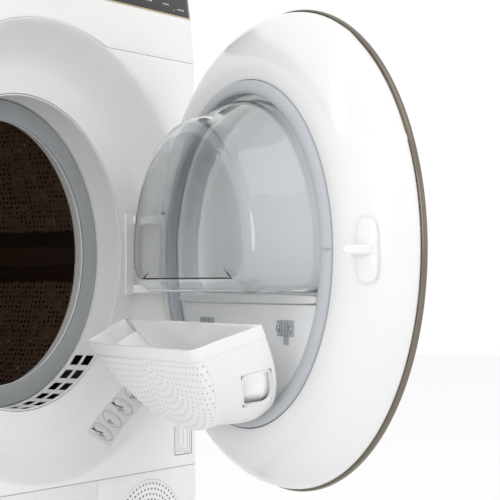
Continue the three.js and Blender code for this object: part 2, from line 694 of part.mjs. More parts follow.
const BOWL_LINE = [
  [170.8, 0],
  [170.8, 42],
  [167, 50],
  [160.5, 62],
  [155, 73],
  [152.5, 81],
  [151, 90],
  [149, 97],
  [144, 102.5],
  [134, 105.5],
  [0, 106],
];

// The scoop of the filter: its flank narrows from the back plate to the end that faces the drum.
const SCOOP_LINE = [
  [173, SCOOP_BACK],
  [173, 52],
  [171, 60],
  [165, 68],
  [157, 74.5],
  [151, 79.5],
  [149.5, 86],
  [148, 95],
  [145, 100],
  [138, 104],
  [0, 105],
];

// Everything under the sloping rim of the stowed scoop, shifted by dz.
function underRim(dz) {
  return box(-200, 200, -100, 200, -400, 0)
    .rotateX(SCOOP_SLOPE * DEG)
    .translate(0, SCOOP_BACK, SCOOP_TOP + dz);
}

const filled = (line, y0) => turned([[0, y0], ...line.filter(([, y]) => y > y0 - 1e-6)], 0, SEAL_Z);
const shrunk = (line, t) => offset(line, t).map(([r, y]) => [Math.max(r, 0), y]);

// Room for the scoop's rim, which stands up round the foot of the bowl.
function rimRoom(grow) {
  const foot = shrunk(SCOOP_LINE, 3 + grow);
  return cut(underRim(1 + grow), turned([[0, -150], [foot[0][0], -150], ...foot], 0, SEAL_Z));
}

function buildBowl() {
  const floor = (dz) => box(-200, 200, -100, 200, 100, BOWL_FLOOR + dz);
  const outer = cut(filled(BOWL_LINE, 0), floor(0), rimRoom(0));
  const hollow = turned([[0, -20], [167.8, -20], ...shrunk(BOWL_LINE, 3).slice(1)], 0, SEAL_Z);
  add(door, "door_bowl", cut(outer, cut(hollow, floor(3), rimRoom(3))), CLEAR);
}

// The housing behind the filter: a round pan with a front wall, and two lugs that carry its pivots.
const ARM_X = 22;

function buildFilterSeat() {
  const pan = turned(
    [
      [0, -8],
      [174, -8],
      [174, 24],
      [SEAL_OUT, 24],
      [SEAL_OUT, 27.7],
      [171.4, 27.7],
      [171.4, -5.5],
      [0, -5.5],
    ],
    0,
    SEAL_Z,
  );
  const wall = common(rodY(172.5, 26, 29.5, 0, SEAL_Z, RING), box(-200, 200, 20, 40, 200, BOWL_FLOOR - 2));
  const lip = box(-160, 160, 28, 34, 362, BOWL_FLOOR - 2);
  const windows = [-92, 92].map((x) => box(x - 15, x + 15, 28, 35, 326, 345));
  const lugs = [-1, 1].map((side) => box(side * 15 - 3, side * 15 + 3, 13, 24, 244.5, 256));
  const bore = rodX(2.5, -40, 40, FILTER_PIVOT_Y, FILTER_PIVOT_Z);
  const slots = [-1, 1].map((side) => box(side * ARM_X - 4.5, side * ARM_X + 4.5, 24.5, 31, 240, 284));
  const seat = cut(join(pan, wall, lip, ...windows), ...slots);
  add(door, "filter_housing", join(seat, ...lugs.map((lug) => cut(lug, bore))), WHITE);
}

const filterSwing = new THREE.Group();
filterSwing.position.set(0, FILTER_PIVOT_Y, FILTER_PIVOT_Z);
filterSwing.rotation.x = -FILTER_OPEN * DEG;
const filter = new THREE.Group();
filter.position.set(0, -FILTER_PIVOT_Y, -FILTER_PIVOT_Z);
filterSwing.add(filter);
door.add(filterSwing);

// The fluff filter fills the space under the bowl: a scoop with an open top, on two pivot arms.
function buildFilter() {
  const heel = outline([[20, 230], [72, 230], [63.5, 243.5], [54.3, 250.6], [37, 263.2], [20, 276]]);
  const sealRoom = (grow) => along(heel, -84 - grow, 84 + grow).translate(0, 0, 1.25 * grow);
  const back = SCOOP_BACK + SCOOP_WALL;
  const inside = shrunk(SCOOP_LINE, SCOOP_WALL).slice(1);
  const block = common(turned([[0, SCOOP_BACK], ...SCOOP_LINE], 0, SEAL_Z), underRim(0));
  const hollow = common(
    turned([[0, back], [SCOOP_LINE[0][0] - SCOOP_WALL, back], ...inside], 0, SEAL_Z),
    underRim(40),
  );
  const scoop = cut(cut(block, sealRoom(0)), cut(hollow, sealRoom(SCOOP_WALL)));
  const windowBox = (grow) => box(-112 - grow, 112 + grow, 82, 120, 287 - grow, 350 + grow);
  const grip = new THREE.BoxGeometry(58, 32, 40)
    .translate(0, 57, -166)
    .rotateY(46.5 * DEG)
    .translate(0, 0, SEAL_Z);
  const side = outline([
    [17, 249.2],
    [FILTER_PIVOT_Y, FILTER_PIVOT_Z - 2.2],
    [20.6, 249.2],
    [39, 271],
    [39, 279],
    [36.5, 279],
    [17.5, 254],
    [16, 252],
  ]);
  const arms = [-1, 1].flatMap((way) => [
    along(side, way * ARM_X - 3, way * ARM_X + 3),
    rodX(2.2, way * 17.5 - 5, way * 17.5 + 5, FILTER_PIVOT_Y, FILTER_PIVOT_Z),
  ]);
  add(filter, "filter_frame", join(cut(scoop, windowBox(0), grip), ...arms), WHITE);
  add(filter, "filter_mesh", common(scoop, windowBox(-GAP)), WHITE);
}

buildBase();
buildSheets();
buildFrontPanel();
buildPlinth();
buildFascia();
buildControls();
buildTank();
buildBulkheads();
buildThroat();
buildDrum();
buildDrive();
buildHeatPump();
buildHinge();
buildDoorSkins();
buildLatch();
buildBowl();
buildFilterSeat();
buildFilter();

export default dryer;
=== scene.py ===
"""A front-loading tumble dryer with its round door open and the fluff filter swung out of the door.

Lengths inside the classes are millimetres in the cabinet's own directions: X to the right, Y into the
machine from the front panel and Z up from the floor. A Place carries them to the frame's metres.
"""

import json
import logging
import math
from dataclasses import dataclass, field
from enum import Enum
from typing import Any

import bmesh
import bpy
import numpy as np
from mathutils import Matrix, Vector


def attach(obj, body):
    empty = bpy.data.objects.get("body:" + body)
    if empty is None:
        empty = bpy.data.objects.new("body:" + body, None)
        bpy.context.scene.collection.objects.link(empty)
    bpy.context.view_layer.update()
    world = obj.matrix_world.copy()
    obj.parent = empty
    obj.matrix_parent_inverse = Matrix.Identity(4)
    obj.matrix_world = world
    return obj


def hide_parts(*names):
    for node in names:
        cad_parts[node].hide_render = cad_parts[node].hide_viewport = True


logging.basicConfig(level=logging.INFO, format="%(message)s")
log = logging.getLogger("dryer")
ROOM = (0.0, -3000.0, 400.0)  # a point in front of the machine
INSIDE = (0.0, 3000.0, 400.0)  # a point behind it, which the open door's inner face looks at when shut

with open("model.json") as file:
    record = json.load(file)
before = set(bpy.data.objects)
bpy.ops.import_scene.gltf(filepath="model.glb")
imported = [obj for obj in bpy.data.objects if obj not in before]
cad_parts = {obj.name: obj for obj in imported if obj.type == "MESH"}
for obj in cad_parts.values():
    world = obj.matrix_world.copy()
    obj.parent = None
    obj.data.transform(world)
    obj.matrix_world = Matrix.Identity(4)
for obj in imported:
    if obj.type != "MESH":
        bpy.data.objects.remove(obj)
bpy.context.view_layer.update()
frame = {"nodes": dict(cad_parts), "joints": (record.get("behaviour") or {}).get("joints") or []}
JOINTS = {joint["name"]: joint for joint in frame["joints"]}
MM = 0.001
DEPTH = 600.0  # front plane to back panel
FOOT = 14.0  # floor to the underside of the base tray


# ---- Places -------------------------------------------------------------------------------
@dataclass(frozen=True)
class Place:
    """A rigid move from millimetres in a sub-assembly to metres in the frame."""

    matrix: Matrix

    def put(self, points: np.ndarray) -> np.ndarray:
        """Carries an array of points, shape (..., 3), into the frame."""
        turn = np.array(self.matrix.to_3x3())
        return points @ turn.T + np.array(self.matrix.translation)

    def swung(self, joint: str, degrees: float) -> "Place":
        """This place after a turn about a joint's axis in the frame."""
        facts = JOINTS[joint]
        pivot = Matrix.Translation(Vector(facts["pos_m"]))
        turn = Matrix.Rotation(math.radians(degrees), 4, Vector(facts["axis"]))
        return Place(pivot @ turn @ pivot.inverted() @ self.matrix)


CABINET = Place(Matrix.Translation(Vector((0, -DEPTH / 2, -FOOT)) * MM) @ Matrix.Scale(MM, 4))
DOOR_OPEN = -JOINTS["door_hinge"]["range_deg"][0]
FILTER_STOWED = 33.5  # swing from the shown position back under the bowl, degrees
DOOR = CABINET.swung("door_hinge", DOOR_OPEN)
FILTER = DOOR.swung("filter_swing", -FILTER_STOWED)


# ---- Meshes -------------------------------------------------------------------------------
def quads(rows: int, columns: int, around: bool = False, closed: bool = False) -> np.ndarray:
    """The four-cornered faces of a grid of points numbered row by row.

    Args:
        rows: number of rows of points.
        columns: number of points in a row.
        around: whether the last column joins the first.
        closed: whether the last row joins the first.

    Returns:
        An array of point numbers, one row of four for each face.
    """
    i = np.arange(rows if closed else rows - 1)[:, None]
    j = np.arange(columns if around else columns - 1)[None, :]
    next_i = (i + 1) % rows
    next_j = (j + 1) % columns
    corners = [i * columns + j, i * columns + next_j, next_i * columns + next_j, next_i * columns + j]
    return np.stack([corner.ravel() for corner in corners], axis=1)


@dataclass
class Sheet:
    """Points in millimetres with the faces between them."""

    points: np.ndarray
    faces: np.ndarray
    flat: np.ndarray | None = None  # the same points unrolled, for a pattern

    @classmethod
    def grid(cls, grid: np.ndarray, around: bool = False, closed: bool = False,
             keep: np.ndarray | None = None, flat: np.ndarray | None = None) -> "Sheet":
        """A sheet from a grid of points, shape (rows, columns, 3), without the faces where keep is false."""
        faces = quads(grid.shape[0], grid.shape[1], around, closed)
        if keep is not None:
            faces = faces[keep.ravel()]
        return cls(grid.reshape(-1, 3), faces, None if flat is None else flat.reshape(-1, 2))

    def joined(self, *others: "Sheet") -> "Sheet":
        """This sheet and others as one set of faces."""
        points, faces = [self.points], [self.faces]
        for other in others:
            faces.append(other.faces + sum(len(part) for part in points))
            points.append(other.points)
        return Sheet(np.concatenate(points), np.concatenate(faces))

    def flipped(self) -> "Sheet":
        """This sheet facing the other way."""
        return Sheet(self.points, self.faces[:, ::-1], self.flat)

    def facing(self, point: tuple[float, float, float], away: bool = False) -> "Sheet":
        """This sheet turned so that its faces, weighted by area, look towards a point or away from it.

        Args:
            point: the point.
            away: whether to look away from it.

        Returns:
            The sheet, flipped where that is needed.
        """
        a, b, c, d = (self.points[self.faces[:, k]] for k in range(4))
        normals = np.cross(c - a, d - b)
        seen = np.sum(normals * (np.array(point) - (a + b + c + d) / 4))
        return self if (seen > 0) != away else self.flipped()


@dataclass
class Build:
    """How a sheet becomes a finished piece."""

    body: str
    place: Place = CABINET
    material: Any = None
    slot: str = "white_plastic"
    replaces: tuple[str, ...] = ()
    wall: float = 0.0  # thickness given behind the faces, mm
    edge: float = 0.0  # rounding of the edges, mm
    outward: bool = False  # whether the closed surface has its faces turned out
    sharp: float = 40.0  # degrees past which an edge stays sharp


def make(name: str, sheet: Sheet, build: Build) -> bpy.types.Object:
    """Args:
        name: the piece's name.
        sheet: its points and faces in millimetres.
        build: body, place, material and finishing.

    Returns:
        The new object, at the origin, with its place in its mesh.
    """
    mesh = bpy.data.meshes.new(name)
    mesh.from_pydata(build.place.put(sheet.points).tolist(), [], sheet.faces.tolist())
    if sheet.flat is not None:
        layer = mesh.uv_layers.new(name="unrolled")
        loops = np.empty(len(mesh.loops), int)
        mesh.loops.foreach_get("vertex_index", loops)
        layer.uv.foreach_set("vector", (sheet.flat[loops] * MM).astype(np.float32).ravel())
    tidy = bmesh.new()
    tidy.from_mesh(mesh)
    bmesh.ops.remove_doubles(tidy, verts=tidy.verts, dist=2e-6)
    bmesh.ops.dissolve_degenerate(tidy, edges=tidy.edges, dist=1e-6)
    loose = [vert for vert in tidy.verts if not vert.link_faces]
    bmesh.ops.delete(tidy, geom=loose, context="VERTS")
    if build.outward:
        bmesh.ops.recalc_face_normals(tidy, faces=tidy.faces)
    tidy.to_mesh(mesh)
    tidy.free()
    mesh.shade_smooth()
    mesh.set_sharp_from_angle(angle=math.radians(build.sharp))
    piece = bpy.data.objects.new(name, mesh)
    bpy.context.scene.collection.objects.link(piece)
    if build.wall:
        wall = piece.modifiers.new("wall", "SOLIDIFY")
        wall.thickness = build.wall * MM
        wall.offset = -1.0
        wall.use_even_offset = False
    if build.edge:
        edge = piece.modifiers.new("edge", "BEVEL")
        edge.width = build.edge * MM
        edge.segments = 2
        edge.limit_method = "ANGLE"
        edge.angle_limit = math.radians(50)
    if build.material is not None:
        mesh.materials.append(build.material)
    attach(piece, build.body)
    if build.replaces:
        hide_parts(*build.replaces)
    log.info("%s: %d faces on %s", name, len(mesh.polygons), build.body)
    return piece


def smooth(t: np.ndarray | float) -> np.ndarray:
    """A soft step: 0 below 0, 1 above 1, and 3t^2 - 2t^3 between."""
    t = np.clip(t, 0.0, 1.0)
    return t * t * (3 - 2 * t)


def densified(profile: list[tuple[float, float]], step: float) -> np.ndarray:
    """An open line of points resampled about every step millimetres, corners kept."""
    points = np.array(profile, float)
    counts = np.maximum(1, np.ceil(np.hypot(*np.diff(points, axis=0).T) / step).astype(int))
    parts = [np.linspace(a, b, n, endpoint=False) for a, b, n in zip(points[:-1], points[1:], counts)]
    return np.concatenate([*parts, points[-1:]])


def softened(profile: list[tuple[float, float]], step: float, passes: int) -> np.ndarray:
    """A densified line with its corners eased: each pass averages every inner point with its neighbours."""
    line = densified(profile, step)
    for _ in range(passes):
        line[1:-1] = (line[:-2] + 2 * line[1:-1] + line[2:]) / 4
    return line


def pillow(across: float, deep: float, count: int = 40, power: float = 4.0) -> np.ndarray:
    """A rounded box outline about the origin: a superellipse |x/a|^p + |y/b|^p = 1, shape (count, 2)."""
    turn = np.linspace(0, 2 * np.pi, count, endpoint=False)
    c, s = np.cos(turn), np.sin(turn)
    rounding = 2.0 / power
    return np.stack([across * np.sign(c) * np.abs(c) ** rounding,
                     deep * np.sign(s) * np.abs(s) ** rounding], 1)


def lathed(profile: np.ndarray, centre: tuple[float, float], segments: int = 192,
           closed: bool = True) -> Sheet:
    """A profile of (radius, depth) turned about an axis along Y.

    Args:
        profile: the points of the section.
        centre: X and Z of the axis.
        segments: steps round the axis.
        closed: whether the section joins up with itself.

    Returns:
        The turned sheet: x = cx + r sin a, z = cz - r cos a.
    """
    turn = np.linspace(0, 2 * np.pi, segments, endpoint=False)
    r, y = profile[:, :1], profile[:, 1:]
    grid = np.stack([centre[0] + r * np.sin(turn), y + 0 * turn, centre[1] - r * np.cos(turn)], axis=2)
    return Sheet.grid(grid, around=True, closed=closed)


def block(low: tuple[float, float, float], high: tuple[float, float, float]) -> Sheet:
    """A closed box from its lowest to its highest corner, as a square tube with its ends drawn to points.

    Args:
        low: the lowest corner.
        high: the highest corner.

    Returns:
        The box's sheet.
    """
    lo, hi = np.array(low, float), np.array(high, float)
    mid = (lo + hi) / 2
    ring = np.array([[lo[0], lo[1]], [hi[0], lo[1]], [hi[0], hi[1]], [lo[0], hi[1]]])
    levels = [lo[2], lo[2], hi[2], hi[2]]
    scales = [0.0, 1.0, 1.0, 0.0]
    rows = [np.column_stack([mid[:2] + (ring - mid[:2]) * scale, np.full(4, z)])
            for z, scale in zip(levels, scales)]
    return Sheet.grid(np.stack(rows), around=True)


# ---- Finishes -----------------------------------------------------------------------------
def linear(colour: str) -> tuple[float, float, float, float]:
    """Turns an sRGB hex colour into the linear values that a shader reads."""
    parts = [int(colour[i : i + 2], 16) / 255 for i in (1, 3, 5)]
    return (*[p / 12.92 if p <= 0.04045 else ((p + 0.055) / 1.055) ** 2.4 for p in parts], 1.0)


def add_node(tree: bpy.types.NodeTree, kind: str, settings: dict[str, Any] | None = None,
             inputs: dict[Any, Any] | None = None) -> bpy.types.Node:
    """Adds a node, sets it and links it.

    Args:
        tree: the material's node tree.
        kind: the node's type, without its ShaderNode prefix.
        settings: properties of the node.
        inputs: socket name or number to a value, or to an output socket to link from.

    Returns:
        The new node.
    """
    node = tree.nodes.new(f"ShaderNode{kind}")
    for key, value in (settings or {}).items():
        setattr(node, key, value)
    for key, value in (inputs or {}).items():
        if isinstance(value, bpy.types.NodeSocket):
            tree.links.new(value, node.inputs[key])
        else:
            node.inputs[key].default_value = value
    return node


def blank_material(name: str) -> tuple[bpy.types.Material, bpy.types.NodeTree]:
    """Makes a material without nodes.

    Args:
        name: the material's name.

    Returns:
        The material and its empty node tree.
    """
    material = bpy.data.materials.new(name)
    material.use_nodes = True
    material.node_tree.nodes.clear()
    return material, material.node_tree


class Pattern(Enum):
    """The relief that a surface's making leaves."""

    MOULD_GRAIN = "eroded mould steel printed into the plastic"
    ORANGE_PEEL = "the flow waves of baked powder"
    BRUSHED = "fine parallel scratches"
    SPANGLE = "zinc crystals"
    FELTED = "matted fibres"
    PLAIN = "a polished mould"


@dataclass(frozen=True)
class Finish:
    """A surface finish: what it is made of, its colour, and the size of its relief."""

    name: str
    colour: str
    roughness: float
    pattern: Pattern = Pattern.PLAIN
    scale_mm: float = 1.0  # size of one grain of the relief
    relief: float = 0.05
    metallic: float = 0.0
    ior: float = 1.5
    coat: float = 0.0
    shade: float = 0.04  # how far the colour drifts from patch to patch
    sheen: float = 0.0
    settings: dict[str, Any] = field(default_factory=dict)

    def build(self) -> bpy.types.Material:
        """Makes the material: patchy colour, uneven roughness and the relief of its pattern.

        Returns:
            The material, ready to go on a piece.
        """
        material, tree = blank_material(self.name)
        place = add_node(tree, "TexCoord").outputs["Object"]
        stretch = (1.0, 1.0, 0.04) if self.pattern is Pattern.BRUSHED else (1.0, 1.0, 1.0)
        mapped = add_node(tree, "Mapping", inputs={0: place, "Scale": stretch}).outputs[0]
        patches = add_node(tree, "TexNoise", inputs={"Vector": place, "Scale": 9.0, "Detail": 2.0})
        grain = self.grain(tree, mapped)
        base = linear(self.colour)
        deep = tuple(channel * (1 - self.shade) for channel in base[:3]) + (1.0,)
        tint = add_node(tree, "Mix", {"data_type": "RGBA"}, {0: patches.outputs[0], 6: deep, 7: base})
        rough = add_node(tree, "MapRange", inputs={
            0: patches.outputs[0], 3: max(0.02, self.roughness * 0.88), 4: min(1.0, self.roughness * 1.12)})
        bump = add_node(tree, "Bump", inputs={
            "Strength": self.relief, "Distance": self.scale_mm * MM * 0.5, "Height": grain})
        surface = add_node(tree, "BsdfPrincipled", inputs={
            "Base Color": tint.outputs[2], "Roughness": rough.outputs[0], "Metallic": self.metallic,
            "Normal": bump.outputs[0], "Coat Weight": self.coat, "Sheen Weight": self.sheen, **self.settings})
        if not self.metallic:
            surface.inputs["IOR"].default_value = self.ior
        add_node(tree, "OutputMaterial", inputs={0: surface.outputs[0]})
        return material

    def grain(self, tree: bpy.types.NodeTree, place: bpy.types.NodeSocket) -> bpy.types.NodeSocket:
        """The height field of the finish's pattern, one cell every scale_mm millimetres."""
        scale = 1.0 / (self.scale_mm * MM)
        if self.pattern is Pattern.SPANGLE:
            return add_node(tree, "TexVoronoi", inputs={"Vector": place, "Scale": scale}).outputs[0]
        detail = 4.0 if self.pattern is Pattern.FELTED else 1.5
        return add_node(tree, "TexNoise",
                        inputs={"Vector": place, "Scale": scale, "Detail": detail}).outputs[0]


@dataclass(frozen=True)
class ClearShell:
    """Injection-moulded styrene acrylonitrile: water-clear, with a trace of flow ripple."""

    name: str = "clear_san_bowl"
    ripple_mm: float = 38.0

    def build(self) -> bpy.types.Material:
        """Makes the clear plastic: full transmission and slow flow waves.

        Returns:
            The material, ready to go on a piece.
        """
        material, tree = blank_material(self.name)
        place = add_node(tree, "TexCoord").outputs["Object"]
        waves = add_node(tree, "TexNoise",
                         inputs={"Vector": place, "Scale": 1 / (self.ripple_mm * MM), "Detail": 1.0})
        bump = add_node(tree, "Bump",
                        inputs={"Strength": 0.12, "Distance": 0.002, "Height": waves.outputs[0]})
        surface = add_node(tree, "BsdfPrincipled", inputs={
            "Base Color": linear("#FBFDFE"), "Roughness": 0.015, "IOR": 1.5, "Transmission Weight": 1.0,
            "Normal": bump.outputs[0]})
        # Lamps shine through the thin wall as they do through real plastic, so what is behind it is lit.
        through = add_node(tree, "BsdfTransparent", inputs={0: linear("#F4F7F8")})
        shadow = add_node(tree, "LightPath").outputs["Is Shadow Ray"]
        mixed = add_node(tree, "MixShader", inputs={0: shadow, 1: surface.outputs[0], 2: through.outputs[0]})
        add_node(tree, "OutputMaterial", inputs={0: mixed.outputs[0]})
        return material


@dataclass(frozen=True)
class DottedSieve:
    """A sheet pierced in rings round one point, read from the piece's own unrolled map."""

    name: str
    colour: str
    # colour painted into the holes: painted shade seen through the openings
    hole: str
    pitch_mm: float
    hole_mm: float
    centre_mm: tuple[float, float]
    roughness: float = 0.4
    metallic: float = 0.0

    def build(self) -> bpy.types.Material:
        """Makes the sieve: ring number = floor(r / pitch), and 6 holes more on each ring outwards; the holes
        are painted darker, painted shade seen through them.

        Returns:
            The material, ready to go on a piece.
        """
        material, tree = blank_material(self.name)
        uv = add_node(tree, "UVMap", {"uv_map": "unrolled"}).outputs[0]
        parts = add_node(tree, "SeparateXYZ", inputs={0: uv}).outputs
        made: dict[Any, Any] = {"u": parts[0], "v": parts[1]}
        steps = (("x", "SUBTRACT", "u", self.centre_mm[0] * MM),
                 ("y", "SUBTRACT", "v", self.centre_mm[1] * MM), ("x2", "MULTIPLY", "x", "x"),
                 ("y2", "MULTIPLY", "y", "y"), ("r2", "ADD", "x2", "y2"), ("radius", "SQRT", "r2"),
                 ("rings", "DIVIDE", "radius", self.pitch_mm * MM), ("ring", "FLOOR", "rings"),
                 ("rise", "FRACT", "rings"), ("across", "SUBTRACT", "rise", 0.5),
                 ("angle", "ARCTAN2", "y", "x"), ("share", "DIVIDE", "angle", 2 * math.pi),
                 ("middle", "ADD", "ring", 0.5), ("holes", "MULTIPLY", "middle", 6.0),
                 ("count", "ROUND", "holes"), ("turns", "MULTIPLY", "share", "count"),
                 ("cell", "FRACT", "turns"), ("along", "SUBTRACT", "cell", 0.5),
                 ("across2", "MULTIPLY", "across", "across"), ("along2", "MULTIPLY", "along", "along"),
                 ("away2", "ADD", "across2", "along2"), ("away", "SQRT", "away2"))
        for result, operation, *operands in steps:
            inputs = {k: made.get(value, value) for k, value in enumerate(operands)}
            made[result] = add_node(tree, "Math", {"operation": operation}, inputs).outputs[0]
        edge = self.hole_mm / self.pitch_mm / 2
        hole = add_node(tree, "MapRange",
                        inputs={0: made["away"], 1: edge * 0.75, 2: edge * 1.25, 3: 1.0, 4: 0.0}).outputs[0]
        # The holes are not cut: the hole colour paints them darker, as painted shade seen through them.
        tint = add_node(tree, "Mix", {"data_type": "RGBA"},
                        {0: hole, 6: linear(self.colour), 7: linear(self.hole)})
        height = add_node(tree, "Math", {"operation": "SUBTRACT"}, {0: 1.0, 1: hole}).outputs[0]
        bump = add_node(tree, "Bump", inputs={"Strength": 0.6, "Distance": 0.0012, "Height": height})
        surface = add_node(tree, "BsdfPrincipled", inputs={
            "Base Color": tint.outputs[2], "Roughness": self.roughness, "Metallic": self.metallic,
            "Normal": bump.outputs[0]})
        add_node(tree, "OutputMaterial", inputs={0: surface.outputs[0]})
        return material


@dataclass(frozen=True)
class EmbossedDrum:
    """Stainless drum sheet, rolled with raised drops and pierced between them."""

    name: str = "embossed_stainless_drum"
    drop_mm: float = 24.0
    hole_mm: float = 7.0

    def build(self) -> bpy.types.Material:
        """Makes the drum sheet: cell edges of a Voronoi pattern sink round the drops, with rows of holes
        painted near-black as painted shade seen through them.

        Returns:
            The material, ready to go on a piece.
        """
        material, tree = blank_material(self.name)
        uv = add_node(tree, "UVMap", {"uv_map": "unrolled"}).outputs[0]
        drops = add_node(tree, "TexVoronoi", {"feature": "SMOOTH_F1"}, {
            "Vector": uv, "Scale": 1 / (self.drop_mm * MM), "Smoothness": 0.35, "Randomness": 0.85})
        holes = add_node(tree, "TexVoronoi", inputs={
            "Vector": uv, "Scale": 1 / (self.hole_mm * MM), "Randomness": 0.25})
        ring = add_node(tree, "MapRange",
                        inputs={0: holes.outputs[0], 1: 0.2, 2: 0.32, 3: 0.0, 4: 1.0}).outputs[0]
        spread = add_node(tree, "MapRange",
                          inputs={0: drops.outputs[0], 1: 0.28, 2: 0.5, 3: 0.0, 4: 1.0}).outputs[0]
        hole_shade_mask = add_node(tree, "Math", {"operation": "MAXIMUM"},
                           {0: ring,
                            1: add_node(tree, "Math", {"operation": "SUBTRACT"},
                                        {0: 1.0, 1: spread}).outputs[0]}).outputs[0]
        # The near-black #1A110C in the holes is painted shade seen through the sheet; the holes are not cut.
        tint = add_node(tree, "Mix", {"data_type": "RGBA"},
                        {0: hole_shade_mask, 6: linear("#1A110C"), 7: linear("#B49A86")})
        height = add_node(tree, "Math", {"operation": "SUBTRACT"},
                          {0: hole_shade_mask, 1: drops.outputs[0]}).outputs[0]
        bump = add_node(tree, "Bump", inputs={"Strength": 1.0, "Distance": 0.006, "Height": height})
        surface = add_node(tree, "BsdfPrincipled", inputs={
            "Base Color": tint.outputs[2], "Roughness": 0.34, "Metallic": 0.7, "Normal": bump.outputs[0]})
        add_node(tree, "OutputMaterial", inputs={0: surface.outputs[0]})
        return material


class Palette:
    """Every finish of the machine, built once."""

    def __init__(self) -> None:
        """Builds the materials from their finishes."""
        grain, peel = Pattern.MOULD_GRAIN, Pattern.ORANGE_PEEL
        # Gloss white ABS from a polished mould: clean highlights, the faintest waviness.
        self.gloss_white = Finish("gloss_white_abs", "#E9E9E9", 0.2, Pattern.PLAIN, 14.0, 0.02,
                                  coat=0.15).build()
        # Housing behind the clear bowl: bleached white polypropylene, 1 mm grain.
        self.bright_pp = Finish("bright_white_pp", "#FAFAFA", 0.3, grain, 1.0, 0.03, coat=0.1).build()
        # Satin white ABS from a lightly eroded mould, 0.6 mm grain drawn at 1.2 mm to show.
        self.satin_white = Finish("satin_white_abs", "#EBEBEA", 0.38, grain, 1.2, 0.04).build()
        # Powder-coated steel sheet: 2.5 mm flow waves under a semi-gloss skin.
        self.enamel = Finish("white_powder_coat", "#ECECEC", 0.3, peel, 2.5, 0.03, coat=0.1).build()
        # Piano-black polycarbonate panel, polished tool.
        self.piano_black = Finish("piano_black_panel", "#060607", 0.06, Pattern.PLAIN, 30.0, 0.01,
                                  coat=0.4).build()
        # Brushed and lacquered nickel-bronze trim, scratches 0.5 mm apart.
        self.nickel = Finish("brushed_nickel_bronze", "#7E776A", 0.24, Pattern.BRUSHED, 0.5, 0.05,
                             metallic=1.0).build()
        self.cream_foil = Finish("champagne_foil", "#CDBF96", 0.3, Pattern.BRUSHED, 0.5, 0.04,
                                 metallic=0.8).build()
        # Silicone rubber, matt from talc, 0.8 mm grain.
        self.seal = Finish("grey_silicone", "#B9BDC2", 0.5, grain, 0.8, 0.08, ior=1.41).build()
        # Needled wool felt: 1.5 mm fibre tufts and a soft sheen.
        self.felt = Finish("pressed_wool_felt", "#A4A8AA", 0.95, Pattern.FELTED, 1.5, 0.6, sheen=0.35,
                           shade=0.12).build()
        # Hot-dip galvanised sheet with 9 mm spangle.
        self.zinc = Finish("galvanised_sheet", "#B4B8BB", 0.38, Pattern.SPANGLE, 9.0, 0.08, metallic=0.85,
                           shade=0.12).build()
        self.bright_zinc = Finish("bright_zinc_plate", "#C9CCCE", 0.25, Pattern.BRUSHED, 0.6, 0.06,
                                  metallic=0.9).build()
        # Tinted stainless of the lifters, brushed along their length, scratches 0.8 mm apart.
        self.brown_steel = Finish("tinted_stainless_lifter", "#6E5B4E", 0.34, Pattern.BRUSHED, 0.8, 0.08,
                                  metallic=0.8).build()
        # Glass-filled polypropylene of the base tray and ducts, 1.5 mm grain.
        self.dark_pp = Finish("black_glass_filled_pp", "#232528", 0.6, grain, 1.5, 0.1).build()
        self.rubber = Finish("black_nitrile_rubber", "#141416", 0.7, grain, 1.0, 0.1, ior=1.52).build()
        self.mill_aluminium = Finish("mill_finish_aluminium", "#C4C7CA", 0.34, Pattern.BRUSHED, 0.7, 0.08,
                                     metallic=0.95).build()
        self.board = Finish("green_solder_mask", "#1E5B39", 0.35, grain, 3.0, 0.04, coat=0.3).build()
        # Screen-printed inks and the polyester label film under them.
        self.ink_dark = Finish("dark_screen_ink", "#3A3B3D", 0.5, grain, 0.6, 0.02).build()
        # This grey ink also paints the window's two outer ribs darker, as painted shade for dark slots.
        self.grey_ink_and_slot_shade = Finish("grey_screen_ink_and_slot_shade", "#A9ABAC", 0.5, grain, 0.6, 0.02).build()
        self.ink_light = Finish("light_screen_ink", "#C9CBCC", 0.5, grain, 0.6, 0.02).build()
        self.label = Finish("silver_grey_label_film", "#DCDCD9", 0.35, grain, 0.8, 0.02).build()
        # Frosted polypropylene inside the filter, 1 mm grain.
        self.frosted = Finish("frosted_white_pp", "#FAFBFB", 0.3, grain, 1.0, 0.03).build()
        self.clear = ClearShell().build()
        # Each sieve's second colour paints its holes darker: painted shade seen through the openings.
        self.filter_sieve = DottedSieve("pierced_white_sieve", "#EBEBEA", "#C4C3BD", 8.2, 2.5,
                                        (0.0, -44.0)).build()
        self.plinth_sieve = DottedSieve("pierced_white_plinth_grille", "#EFEFEE", "#77797A", 6.6, 3.0,
                                        (0.0, 0.0)).build()
        self.drum = EmbossedDrum().build()


